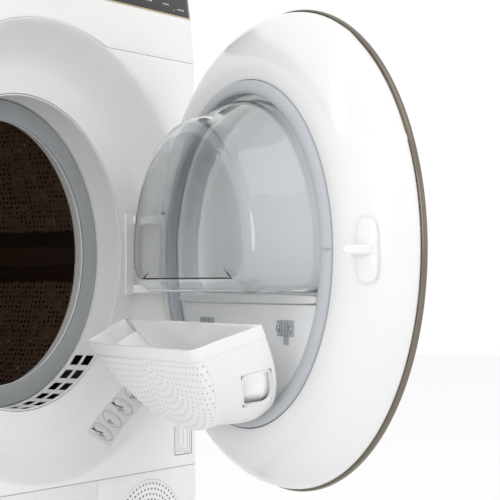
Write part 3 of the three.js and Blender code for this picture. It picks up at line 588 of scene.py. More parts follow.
# ---- Cabinet ------------------------------------------------------------------------------
@dataclass
class FrontCase:
    """The white front: dished front panel, plinth, fascia and control panel."""

    palette: Palette
    half_width: float = 298.0
    corner: float = 22.0
    wrap: float = 24.0
    plinth_top: float = 150.0
    fascia_seam: float = 669.0
    panel_bottom: float = 729.0
    panel_top: float = 824.0
    fascia_lean: float = 0.1
    panel_lean: float = 0.13
    flap_right: float = 83.0
    tank_right: float = -128.0
    drum_z: float = 421.0
    bezel_r: float = 184.5
    bezel_y: float = 42.2
    flat_r: float = 214.0
    dish_r: float = 267.5
    latch_slot: tuple[float, float] = (229.0, 252.0)  # inner and outer radius of the hook's slot
    latch_half_angle: float = 2.3  # degrees
    grille: tuple[float, float, float] = (183.0, 66.0, 74.7)

    def dish(self, r: np.ndarray) -> np.ndarray:
        """Depth of the front panel at a radius: D (1 - t^2.2)^1.35, t from the flat bezel to the rim."""
        t = np.clip((r - self.flat_r) / (self.dish_r - self.flat_r), 0, 1)
        return self.bezel_y * (1 - t**2.2) ** 1.35

    def on_front(self, x: np.ndarray, z: np.ndarray, lift: float = 0.0) -> np.ndarray:
        """Points on the front panel's face at X and Z, raised by lift towards the room."""
        return np.stack([x, self.dish(np.hypot(x, z - self.drum_z)) - lift, z], axis=-1)

    def corner_path(self, start: float, end: float, round_start: bool, round_end: bool) -> np.ndarray:
        """Plan of a front piece from its left to its right end, turned back round the marked ends.

        Args:
            start: X of the left end.
            end: X of the right end.
            round_start: whether the left end turns back.
            round_end: whether the right end turns back.

        Returns:
            Points (X, Y) from left to right.
        """
        turn = np.linspace(0, np.pi / 2, 17)
        arc = np.stack([self.corner * np.sin(turn), self.corner * (1 - np.cos(turn))], 1)
        right = np.array([end - self.corner, 0]) + arc
        left = (np.array([start + self.corner, 0]) + arc * [-1, 1])[::-1]
        head = np.concatenate([[[start, self.wrap]], left]) if round_start else np.array([[start, 0.0]])
        tail = np.concatenate([right, [[end, self.wrap]]]) if round_end else np.array([[end, 0.0]])
        return np.concatenate([head, tail])

    def wrapped(self, path: np.ndarray, z0: float, z1: float, lean: float, base: float,
                y0: float = 0.0) -> Sheet:
        """A plan carried upwards, each level moved back by lean times its height above base.

        Args:
            path: the plan, points (X, Y).
            z0: the lowest level.
            z1: the highest level.
            lean: depth gained for each millimetre of height.
            base: the height where the lean starts.
            y0: depth added at every level.

        Returns:
            The sheet.
        """
        z = np.linspace(z0, z1, 12)[:, None]
        shift = y0 + lean * (z - base)
        grid = np.stack([path[None, :, 0] + 0 * z, np.minimum(path[None, :, 1] + shift, self.wrap),
                         z + 0 * path[None, :, 0]], 2)
        return Sheet.grid(grid)

    def build_front_panel(self) -> None:
        """The dished panel: polar rings out to the dish's rim, then straight to the panel's edge."""
        low, high, side = self.plinth_top + 0.3, self.fascia_seam - 0.3, self.half_width - self.corner - 14
        corners = [math.atan2(z - self.drum_z, x) for x in (side, -side) for z in (low, high)]
        slot = math.radians(self.latch_half_angle)
        slot_in, slot_out = self.latch_slot
        turn = np.unique(np.concatenate([
            np.linspace(-np.pi, np.pi, 361)[:-1], corners, [np.pi - slot, -np.pi + slot]]))
        c, s = np.cos(turn), np.sin(turn)
        with np.errstate(divide="ignore"):
            reach = np.minimum(side / np.abs(c),
                               np.where(s > 0, (high - self.drum_z) / np.abs(s),
                                        (self.drum_z - low) / np.abs(s)))
        reach = np.maximum(reach, self.dish_r)
        inner = np.unique(np.concatenate([np.linspace(self.bezel_r + 0.4, self.dish_r, 40), self.latch_slot]))
        outer = np.linspace(0, 1, 6)[1:, None]
        r = np.concatenate([inner[:, None] + 0 * turn, self.dish_r + outer * (reach - self.dish_r)])
        x, z = r * c, self.drum_z + r * s
        grid = np.stack([x, self.dish(r), z], 2)
        mid_r = (r[:-1, 0] + r[1:, 0]) / 2
        after = np.roll(turn, -1)
        mid_turn = np.where(after > turn, (turn + after) / 2, np.pi)
        hole = (mid_r[:, None] > slot_in) & (mid_r[:, None] < slot_out) & (np.abs(mid_turn)[None,
                                                                                            :] > np.pi
                                                                           - slot)
        face = Sheet.grid(grid, around=True, keep=~hole)
        sides = []
        for way in (1, -1):
            on_edge = np.isclose(x[-1], way * side)
            levels = np.sort(z[-1][on_edge])
            plan = self.corner_path(0, self.half_width, False, True)[1:]
            plan = np.concatenate([[[side, 0.0]], plan])
            strip = np.stack([way * plan[None, :, 0] + 0 * levels[:, None],
                              plan[None, :, 1] + 0 * levels[:, None],
                              levels[:, None] + 0 * plan[None, :, 0]], 2)
            sides.append(Sheet.grid(strip).facing((way * 3000.0, -3000.0, 400.0)))
        make("front_shell", face.facing(ROOM).joined(*sides),
             Build("cabinet", material=self.palette.enamel, slot="white_steel", replaces=("front_panel",),
                   wall=1.3, edge=0.5))

    def build_plinth(self) -> None:
        """The plinth right of the service door, the door itself and the pierced round grille."""
        top, low = self.plinth_top - 0.3, 20.0
        right = self.corner_path(self.flap_right + 0.3, self.half_width, False, True)
        gx, gz, gr = self.grille
        make("plinth_shell", self.wrapped(right, low, top, 0, 0).facing(ROOM),
             Build("cabinet", material=self.palette.satin_white, replaces=("plinth_panel",), wall=2.5,
                   edge=0.6))
        left = self.corner_path(-self.half_width, self.flap_right - 0.3, True, False)
        make("service_door_shell", self.wrapped(left, low + 4, top, 0, 0).facing(ROOM), Build("service_door",
             material=self.palette.satin_white, replaces=("service_door",), wall=2.5, edge=0.6))
        turn = np.linspace(0, 2 * np.pi, 96, endpoint=False)
        r = np.linspace(0, gr, 14)[:, None]
        x, z = r * np.cos(turn), np.maximum(r * np.sin(turn), 27 - gz)
        proud = 0.5 * (1 - smooth((r - gr + 6) / 6)) + 0.1
        grid = np.stack([gx + x, 0 * x - proud, gz + z], 2)
        make("grille_face", Sheet.grid(grid, around=True, flat=np.stack([x, z], 2)).facing(ROOM),
             Build("cabinet", material=self.palette.plinth_sieve, replaces=("plinth_grille",), wall=1.0))

    def build_fascia(self) -> None:
        """The leaning fascia with its arch over the dish, the foil strip and the black control panel."""
        low, high = self.fascia_seam + 0.3, self.panel_bottom - 1.6
        path = self.corner_path(-self.half_width, self.half_width, True, True)
        gap = self.dish_r + 1.2
        reach = math.sqrt(gap**2 - (low - self.drum_z) ** 2)
        x = np.unique(np.concatenate([path[:, 0], np.linspace(-reach, reach, 61)]))
        ends = [path[path[:, 0] <= -self.half_width + 1e-6], path[path[:, 0] >= self.half_width - 1e-6]]
        flat = np.stack([x, np.interp(x, path[:, 0], path[:, 1])], 1)[1:-1]
        plan = np.concatenate([ends[0], flat, ends[1]])
        arch = self.drum_z + np.sqrt(np.maximum(gap**2 - plan[:, 0] ** 2, 0))
        bottom = np.maximum(low, arch)
        z = bottom + np.linspace(0, 1, 10)[:, None] * (high - bottom)
        y = np.minimum(plan[:, 1] + self.fascia_lean * (z - self.fascia_seam), self.wrap)
        grid = np.stack([plan[:, 0] + 0 * z, y, z], 2)
        make("fascia_shell", Sheet.grid(grid).facing(ROOM),
             Build("cabinet", material=self.palette.satin_white, replaces=("upper_fascia",), wall=2.0,
                   edge=0.5))
        base = self.fascia_lean * (self.panel_bottom - self.fascia_seam)
        strip = self.wrapped(path, self.panel_bottom - 1.3, self.panel_bottom, 0, 0, base - 0.6)
        make("foil_strip", strip.facing(ROOM),
             Build("cabinet", material=self.palette.cream_foil, slot="chrome", replaces=("trim_strip",),
                   wall=1.2))
        panel = self.corner_path(self.tank_right + 0.3, self.half_width, False, True)
        sheet = self.wrapped(panel, self.panel_bottom + 0.3, self.panel_top + 1.5, self.panel_lean,
                             self.panel_bottom, base)
        make("panel_shell", sheet.facing(ROOM),
             Build("cabinet", material=self.palette.piano_black, slot="black_gloss",
                   replaces=("control_panel",), wall=2.0, edge=0.4))


@dataclass
class PrintedMarks:
    """The label with its four pictures, the open-book mark and the panel's plain legends."""

    palette: Palette
    case: FrontCase
    label_start: tuple[float, float] = (107.4, 195.4)
    label_end: tuple[float, float] = (189.5, 253.0)
    label_width: float = 22.0
    picture_pitch: float = 24.5

    def ribbon(self, line: np.ndarray, width: float, closed: bool = False) -> tuple[np.ndarray, bool]:
        """A flat band of the given width along a 2D line: each point moved to both sides of its heading.

        Args:
            line: points (X, Z).
            width: the band's width.
            closed: whether the line joins up with itself.

        Returns:
            The band's grid of points, and closed again.
        """
        ahead = np.roll(line, -1, 0) - np.roll(line, 1, 0) if closed else np.gradient(line, axis=0)
        side = np.stack([-ahead[:, 1], ahead[:, 0]], 1) / np.hypot(*ahead.T)[:, None] * width / 2
        return np.stack([line + side, line - side], 1), closed

    def label_frame(self, points: np.ndarray) -> np.ndarray:
        """Label points (along, across) carried to the front panel's X and Z."""
        start, end = np.array(self.label_start), np.array(self.label_end)
        along = (end - start) / np.linalg.norm(end - start)
        across = np.array([-along[1], along[0]])
        return start + points[..., :1] * along + points[..., 1:] * across

    def stuck(self, name: str, flat: np.ndarray, closed: bool, lift: float,
              material: bpy.types.Material) -> None:
        """Lays a flat grid of X and Z on the front panel's face as a thin film.

        Args:
            name: the piece's name.
            flat: the grid of (X, Z).
            closed: whether the last row joins the first.
            lift: distance off the face.
            material: its finish.
        """
        grid = self.case.on_front(flat[..., 0], flat[..., 1], lift)
        sheet = Sheet.grid(grid if not closed else np.concatenate([grid, grid[:1]]))
        make(name, sheet.facing(ROOM), Build("cabinet", material=material, wall=0.15))

    def build_label(self) -> None:
        """The silver-grey strip and its four pictures: a door outline, two louvres and an arrow or filter."""
        length = float(np.hypot(*(np.array(self.label_end) - self.label_start)))
        u, v = np.meshgrid(np.linspace(0, length, 60), np.linspace(-1, 1, 16) * self.label_width / 2,
                           indexing="ij")
        self.stuck("instruction_label", self.label_frame(np.stack([u, v], 2)), False, 0.35,
                   self.palette.label)
        turn = np.linspace(0, 2 * np.pi, 48, endpoint=False)
        for i in range(4):
            centre = np.array([14.5 + i * self.picture_pitch, 0.0])
            oval = centre + np.stack([8.6 * np.cos(turn) + 2 * np.sin(turn), 9.4 * np.sin(turn)], 1)
            band, closed = self.ribbon(oval, 0.7, True)
            self.stuck(f"picture_{i + 1}_door", self.label_frame(band), closed, 0.55, self.palette.grey_ink_and_slot_shade)
            for k, height in enumerate((3.5, 6.5)):
                arc = np.linspace(-0.9, 0.9, 14)
                line = centre + np.stack([height + 2 * np.cos(arc), 8 * np.sin(arc)], 1)
                band, closed = self.ribbon(line, 0.55)
                self.stuck(f"picture_{i + 1}_louvre_{k + 1}", self.label_frame(band), closed, 0.55,
                           self.palette.grey_ink_and_slot_shade)
            if i % 2 == 0:
                stem = centre + np.array([[-1.0, -1.0], [-3.5, 3.0], [-5.0, 7.0]])
                band, closed = self.ribbon(densified(stem.tolist(), 1.0), 1.6)
                self.stuck(f"picture_{i + 1}_arrow", self.label_frame(band), closed, 0.6,
                           self.palette.ink_dark)
                t = np.linspace(0, 1, 8)[:, None]
                head = np.stack([centre + [-6.4, 9.5] + t * [2.0, -5.0],
                                 centre + [-6.4, 9.5] + t * [4.6, -1.2]], 1)
                self.stuck(f"picture_{i + 1}_head", self.label_frame(head), False, 0.6, self.palette.ink_dark)
            t = np.linspace(0, 1, 6)[:, None]
            wedge = np.stack([centre + [-5, -5] + t * [3.4, 7], centre + [-5, -5] + t * [-3.8, 6.0]], 1)
            ink = self.palette.grey_ink_and_slot_shade
            self.stuck(f"picture_{i + 1}_filter", self.label_frame(wedge), False, 0.6, ink)

    def build_book(self) -> None:
        """The open-book mark: nested page outlines, open at the top, with a waved foot."""
        left, right, low, high = 238.0, 274.0, 163.0, 205.0
        for k in range(3):
            inset = 4.5 * k
            line = [(left + inset, high - 3 + 1.5 * k), (left + inset, low + 2 + 3.6 * k),
                    (right - inset, low + 2 + 3.6 * k), (right - inset, high - 3 + 1.5 * k)]
            foot = densified(line, 1.5)
            wave = 1.2 * np.sin((foot[:, 0] - left - inset) / (right - left - 2 * inset) * 2 * np.pi)
            foot[:, 1] += np.where(foot[:, 1] < low + 4 + 3.6 * k, wave if k else 0, 0)
            band, closed = self.ribbon(foot, 0.8 if k == 0 else 0.55)
            self.stuck(f"book_page_{k + 1}", band, closed, 0.25,
                       self.palette.ink_dark if k == 0 else self.palette.grey_ink_and_slot_shade)
        spine = np.array([[(left + right) / 2, low + 13 + 3.2 * t] for t in range(9)])
        band, closed = self.ribbon(spine, 0.5)
        self.stuck("book_spine", band, closed, 0.25, self.palette.grey_ink_and_slot_shade)

    def build_legends(self) -> None:
        """Short plain dashes on the control panel where the option legends are."""
        case = self.case
        base = case.fascia_lean * (case.panel_bottom - case.fascia_seam)
        places = [(232.0, 741.0, 13.0), (264.0, 737.5, 15.0), (248.0, 735.0, 2.0), (196.0, 741.0, 14.0),
                  (160.0, 741.0, 12.0), (112.0, 741.0, 14.0), (60.0, 741.0, 12.0)]
        for i, (x, z, width) in enumerate(places):
            count = max(1, int(width // 2.6))
            for k in range(count):
                x0 = x - width / 2 + k * width / count
                y = base + case.panel_lean * (z - case.panel_bottom) - 0.12
                low, high = (x0, y - 0.05, z - 0.8), (x0 + 0.65 * width / count, y + 0.1, z + 0.8)
                make(f"legend_{i + 1}_{k + 1}", block(low, high),
                     Build("cabinet", material=self.palette.ink_light, outward=True))


@dataclass
class Controls:
    """The programme knob and the two keys on the leaning panel."""

    palette: Palette
    case: FrontCase
    knob: tuple[float, float, float] = (0.0, 777.0, 24.0)
    power: tuple[float, float, float] = (-88.0, 777.0, 9.0)
    start: tuple[float, float, float] = (246.0, 777.0, 12.0)

    def panel_place(self, x: float, z: float) -> Place:
        """A place on the panel's face whose Y axis runs into the panel."""
        case = self.case
        foot = case.fascia_lean * (case.panel_bottom - case.fascia_seam)
        y = foot + case.panel_lean * (z - case.panel_bottom)
        lean = Matrix.Rotation(-math.atan(case.panel_lean), 4, "X")
        return Place(CABINET.matrix @ Matrix.Translation(Vector((x, y, z))) @ lean)

    def build(self) -> None:
        """Turns each from its section; the knob's skirt has 48 shallow flutes r(1 + 0.012 cos 48a)."""
        x, z, r = self.knob
        cap = softened([(0, -17), (r - 3.5, -17), (r - 1.2, -15), (r, -2), (r, -0.5), (0, -0.5)], 0.8, 3)
        cap[0] = (0, -17)
        sheet = lathed(cap, (0, 0), 192, closed=False)
        turn = np.arctan2(sheet.points[:, 0], -sheet.points[:, 2])
        skirt = smooth((sheet.points[:, 1] + 15) / 3) * smooth((np.hypot(sheet.points[:, 0],
                                                                         sheet.points[:, 2]) - r + 4) / 3)
        sheet.points[:, [0, 2]] *= (1 + 0.012 * skirt * np.cos(48 * turn))[:, None]
        make("knob_cap", sheet, Build("knob", self.panel_place(x, z), self.palette.nickel, "chrome",
             ("program_knob",), outward=True))
        make("knob_pointer", block((-1, -17.5, 8), (1, -16.8, 20)), Build("knob", self.panel_place(x, z),
             self.palette.piano_black, "black_gloss", outward=True))
        for name, (x, z, r) in (("button_power", self.power), ("button_start", self.start)):
            key = softened([(0, -2.2), (r - 2, -2.5), (r - 0.6, -2.0), (r, 0), (r, 7.5), (0, 7.5)], 0.6, 2)
            make(f"{name}_cap", lathed(key, (0, 0), 96, closed=False), Build(name, self.panel_place(x, z),
                 self.palette.nickel, "chrome", (name,), outward=True))


# ---- Throat, felt and drum ----------------------------------------------------------------
@dataclass
class Throat:
    """The opening behind the dish: latticed wall, felt ring, lip and drum."""

    palette: Palette
    drum_z: float = 421.0
    wall_r: float = 182.5
    front: float = 42.4
    back: float = 86.8
    felt_y: float = 81.0
    felt_in: float = 156.8
    felt_out: float = 181.2
    window_rows: tuple[tuple[float, float], ...] = ((46.0, 59.0), (63.0, 76.0))
    window_pitch: float = 8.0
    window_width: float = 5.3
    window_reach: float = 46.0
    drum_r: float = 287.0
    drum_front: float = 101.5
    drum_back: float = 545.0

    def build_wall(self) -> None:
        """The latticed wall: a cylinder with the window cells left out, then thickened outwards."""
        centres = np.arange(-self.window_reach + 2, self.window_reach - 1, self.window_pitch)
        edges = np.concatenate([centres - self.window_width / 2, centres + self.window_width / 2])
        turn = np.unique(np.concatenate([np.arange(-180, 180, 1.5), edges]))
        y = np.unique(np.concatenate([[self.front, self.back], np.ravel(self.window_rows)]))
        angle = np.radians(turn)
        grid = np.stack([self.wall_r * np.sin(angle) + 0 * y[:, None], y[:, None] + 0 * angle,
                         self.drum_z - self.wall_r * np.cos(angle) + 0 * y[:, None]], 2)
        mid_turn = np.append((turn[:-1] + turn[1:]) / 2, 180)
        mid_y = (y[:-1] + y[1:]) / 2
        in_column = np.any(np.abs(mid_turn[:, None] - centres) < self.window_width / 2, axis=1)
        in_row = np.any([(mid_y > low) & (mid_y < high) for low, high in self.window_rows], axis=0)
        sheet = Sheet.grid(grid, around=True, keep=~(in_row[:, None] & in_column[None, :]))
        make("throat_wall", sheet.facing((0.0, 60.0, self.drum_z)),
             Build("cabinet", material=self.palette.satin_white, replaces=("throat_ring",), wall=1.6,
                   edge=0.4))

    def build_lip(self) -> None:
        """The flange behind the felt and the lip that reaches towards the drum."""
        ring = softened([(182.3, 84.6), (158.5, 84.6), (156.5, 85.4), (161.3, 99.4), (162.8, 99.0),
                         (159.2, 86.9), (182.3, 86.9)], 1.0, 1)
        make("throat_lip", lathed(ring, (0, self.drum_z)),
             Build("cabinet", material=self.palette.satin_white, outward=True))
        middle = (self.felt_in + self.felt_out) / 2
        section = pillow((self.felt_out - self.felt_in) / 2, 1.9, 48, 6) + [middle, self.felt_y + 1.6]
        make("felt_band", lathed(section, (0, self.drum_z)),
             Build("cabinet", material=self.palette.felt, slot="felt", replaces=("felt_ring",),
                   outward=True))

    def build_drum(self) -> None:
        """The drum: its wall and domed ends as one line turned about the axis, unrolled for the embossing."""
        line = softened([(0, self.drum_back), (70, self.drum_back), (90, self.drum_back - 8),
                         (270, self.drum_back - 12), (self.drum_r, self.drum_back - 30),
                         (self.drum_r, self.drum_front + 8), (self.drum_r - 6, self.drum_front + 2),
                         (164, self.drum_front)], 6.0, 2)
        line[:, 0] -= 1.2
        line[0, 0] = 0
        turn = np.linspace(0, 2 * np.pi, 241)
        length = np.concatenate([[0], np.cumsum(np.hypot(*np.diff(line, axis=0).T))])[:, None]
        r, y = line[:, :1], line[:, 1:]
        grid = np.stack([r * np.sin(turn), y + 0 * turn, self.drum_z - r * np.cos(turn)], 2)
        flat = np.stack([turn * np.maximum(r, 60), length + 0 * turn], 2)
        make("drum_sheet", Sheet.grid(grid, flat=flat).facing((0.0, 300.0, self.drum_z)),
             Build("drum", material=self.palette.drum, slot="drum_steel", replaces=("drum",), wall=0.8))


# ---- Door ---------------------------------------------------------------------------------
@dataclass
class DoorRing:
    """The door's outer ring, chrome rim, cover, seal and hook."""

    palette: Palette
    drum_z: float = 421.0
    seal_z: float = 417.0
    seal_out: float = 193.8
    crest_r: float = 200.0
    spread: float = 68.5
    foot: float = -22.9
    rise: float = 57.0
    latch_x: float = -240.0
    pocket: tuple[float, float] = (112.0, 158.0)  # first and last angle of the finger pocket, degrees
    pocket_depth: float = 9.0
    arm_levels: tuple[tuple[float, float], ...] = ((372.0, 382.0), (460.0, 470.0))

    def pocket_sink(self, r: np.ndarray, turn: np.ndarray) -> np.ndarray:
        """Depth of the finger pocket: it opens behind a crease that runs inwards from the rim and back."""
        first, last = self.pocket
        across = smooth((turn - first) / (0.8 * (last - first))) * (1 - smooth((turn - last + 9) / 9))
        crease = 268 - 42 * across
        return self.pocket_depth * smooth((r - crease) / 12) * smooth(across * 3)

    def build_shell(self) -> None:
        """The white ring: a superellipse quadrant from the rim to the crest, then down to the seal."""
        q = np.linspace(0, np.pi / 2, 44)[:, None]
        turn = np.linspace(0, 2 * np.pi, 360, endpoint=False)
        r = self.crest_r + self.spread * np.cos(q) ** 1.1 + 0 * turn
        e = self.foot + self.rise * np.sin(q) ** 1.1 - self.pocket_sink(r, np.degrees(turn))
        x, z = r * np.cos(turn), self.drum_z + r * np.sin(turn)
        hole = self.seal_out + 0.5
        inner_x, inner_z = hole * np.cos(turn), self.seal_z + hole * np.sin(turn)
        t = np.linspace(0, 1, 8)[1:, None]
        crest = self.foot + self.rise
        bend = np.stack([x[-1] + t * (inner_x - x[-1]), crest - 1.2 * t**3 + 0 * turn,
                         z[-1] + t * (inner_z - z[-1])], 2)
        wall = np.stack([np.stack([inner_x, 0 * turn + depth, inner_z], 1)
                         for depth in (crest - 2.2, 30.0, 24.0)])
        grid = np.concatenate([np.stack([x, e, z], 2), bend, wall])
        mid = (grid[:-1] + grid[1:]) / 2
        mid = (mid + np.roll(mid, -1, 1)) / 2
        cut = np.zeros(mid.shape[:2], bool)
        for low, high in self.arm_levels:
            cut |= (mid[..., 0] > 199) & (np.abs(mid[..., 2] - (low + high) / 2) < (high - low) / 2 + 2.0)
        make("door_ring", Sheet.grid(grid, around=True, keep=~cut).facing(INSIDE),
             Build("door", DOOR, self.palette.gloss_white, replaces=("door_inner_shell",), wall=2.2))

    def build_rim(self) -> None:
        """The nickel rim round the door's edge and the white cover on its outside."""
        section = pillow(4.7, 3.6, 40, 3.2) + [266.8, -26.9]
        make("door_rim_ring", lathed(section, (0, self.drum_z), 256),
             Build("door", DOOR, self.palette.nickel, "chrome", ("door_rim",), outward=True))
        cover = softened([(0, -46), (90, -45), (170, -41.4), (225, -36.6), (253, -32.8), (261.6, -30.6)], 8,
                         3)
        make("door_cover", lathed(cover, (0, self.drum_z), 192, closed=False).facing(ROOM),
             Build("door", DOOR, self.palette.gloss_white, replaces=("door_outer_panel",), wall=2.0))

    def build_seal(self) -> None:
        """The grey lip seal: a rounded section, higher in the middle, and the line where its ends meet."""
        section = np.array([(177.7, 28), (193.6, 28), (193.7, 34.5), (191.5, 37.6), (186.5, 39.6),
                            (181, 39.9), (178, 38.4)])
        closed = np.concatenate([section, section[:1]])
        line = softened(closed.tolist(), 0.8, 3)[:-1]
        make("door_seal_ring", lathed(line, (0, self.seal_z), 256),
             Build("door", DOOR, self.palette.seal, "seal_grey", ("door_seal",), outward=True))
        make("seal_joint", block((-193.4, 34.0, 418.3), (-178.0, 39.95, 418.8)), Build("door", DOOR,
             self.palette.grey_ink_and_slot_shade, "seal_grey", outward=True))

    def build_hook(self) -> None:
        """The stadium plate on the ring's slope and the tapered hook that stands out of it."""
        tilt = Matrix.Translation(Vector((self.latch_x, 21.3,
                                          self.seal_z))) @ Matrix.Rotation(math.radians(33.5), 4, "Z")
        place = Place(DOOR.matrix @ tilt)
        outline = pillow(11.6, 31.8, 96, 3.4)
        rings = [(0.0, -0.6), (0.97, -0.6), (1.0, -0.3), (1.0, 3.0), (0.0, 3.0)]
        grid = np.stack([np.stack([outline[:, 0] * k, 0 * outline[:, 0] + 0.3 - y, outline[:, 1] * k], 1)
                         for k, y in rings])
        make("latch_plate", Sheet.grid(grid, around=True),
             Build("door", place, self.palette.gloss_white, outward=True))
        groove = pillow(1.0, 1.0, 96, 3.4)
        frames = [(11.9, 32.1, 0.5), (12.6, 32.8, 0.9), (13.1, 33.3, 0.3), (12.4, 32.6, -0.4)]
        lip = np.stack([np.stack([groove[:, 0] * a, 0 * groove[:, 0] + y, groove[:, 1] * b], 1)
                        for a, b, y in frames])
        make("latch_lip", Sheet.grid(lip, around=True, closed=True),
             Build("door", place, self.palette.gloss_white, outward=True))
        depth = np.linspace(0, 1, 22)
        half_x, half_z = 5.0 - 2.2 * depth**2, 5.2 - 1.0 * depth
        shrink = np.concatenate([[0.0], np.ones(20), [0.0]])[: len(depth)]
        shrink[-3:] = [0.86, 0.6, 0.0]
        section = pillow(1.0, 1.0, 28, 4)
        across = section[None, :, 0] * (half_x * shrink)[:, None]
        rows = np.stack([self.latch_x + across + 1.2 * depth[:, None] ** 2,
                         18 + 32 * depth[:, None] + 0 * section[None, :, 0],
                         self.seal_z + section[None, :, 1] * (half_z * shrink)[:, None]], 2)
        make("hook_bar", Sheet.grid(rows, around=True), Build("door", DOOR, self.palette.gloss_white,
             replaces=("latch_hook",), outward=True))


@dataclass
class Bowl:
    """The clear bowl: a round wall that narrows, with a flat floor and rounded lower corners."""

    palette: Palette
    seal_z: float = 417.0
    floor: float = 374.0
    corner: float = 26.0
    ramp_start: float = 87.0  # depth where the floor starts to rise over the stowed filter's rim
    ramp_ease: float = 3.0  # half the length in which the rise reaches 45 degrees
    line: tuple[tuple[float, float], ...] = (
        (170.5, 3.0), (170.5, 42), (167, 50), (160.5, 62), (155, 73), (152.2, 81), (150.6, 90), (148.5, 97),
        (142.5, 102.7), (133, 105.3))

    def section(self, r: float, floor: float, corner: float, count: int = 160) -> np.ndarray:
        """The D outline at one depth: an arc of radius r, two corner arcs and the flat floor, by length.

        Args:
            r: radius of the round part.
            floor: Z of the flat floor.
            corner: radius of the two corners.
            count: number of points, evenly spaced.

        Returns:
            Points (X, Z) about the axis.
        """
        drop = self.seal_z - floor
        low = corner - drop
        reach = math.sqrt(max((r - corner) ** 2 - low**2, 1.0))
        tangent = math.atan2(low, reach)
        arc = np.linspace(tangent, np.pi - tangent, 400)
        outer = np.stack([r * np.cos(arc), r * np.sin(arc)], 1)
        bend = np.linspace(0, 1, 80)[1:, None]
        left = (np.pi - tangent) + bend * (np.pi / 2 + tangent)
        left_arc = np.concatenate([-reach + corner * np.cos(left), low + corner * np.sin(left)], 1)
        right = -np.pi / 2 + bend[:-1] * (np.pi / 2 + tangent)
        right_arc = np.concatenate([reach + corner * np.cos(right), low + corner * np.sin(right)], 1)
        loop = np.concatenate([outer, left_arc, right_arc, outer[:1]])
        length = np.concatenate([[0], np.cumsum(np.hypot(*np.diff(loop, axis=0).T))])
        at = np.linspace(0, length[-1], count, endpoint=False)
        return np.stack([np.interp(at, length, loop[:, k]) for k in (0, 1)], 1)

    def build(self) -> None:
        """Lofts the D outlines from the root to the end face and closes the face to its middle."""
        path = softened(list(self.line), 2.5, 2)
        rows = []
        for r, e in path:
            ramp = float(np.clip(e - self.ramp_start, 0.0, 2 * self.ramp_ease))
            lift = ramp**2 / (4 * self.ramp_ease) + max(0.0, e - self.ramp_start - 2 * self.ramp_ease)
            outline = self.section(r, self.floor + lift, self.corner)
            rows.append(np.stack([outline[:, 0], 0 * outline[:, 0] + e, self.seal_z + outline[:, 1]], 1))
        last = rows[-1]
        middle = np.array([0.0, 106.0, self.seal_z + 40])
        for k in (0.8, 0.5, 0.25, 0.0):
            flat = middle + (last - middle) * k
            flat[:, 1] = 106.0 - 0.6 * k**2
            rows.append(flat)
        sheet = Sheet.grid(np.stack(rows), around=True).facing((0.0, 50.0, 440.0), away=True)
        make("bowl_shell", sheet, Build("door", DOOR, self.palette.clear, "clear", ("door_bowl",), wall=2.4))


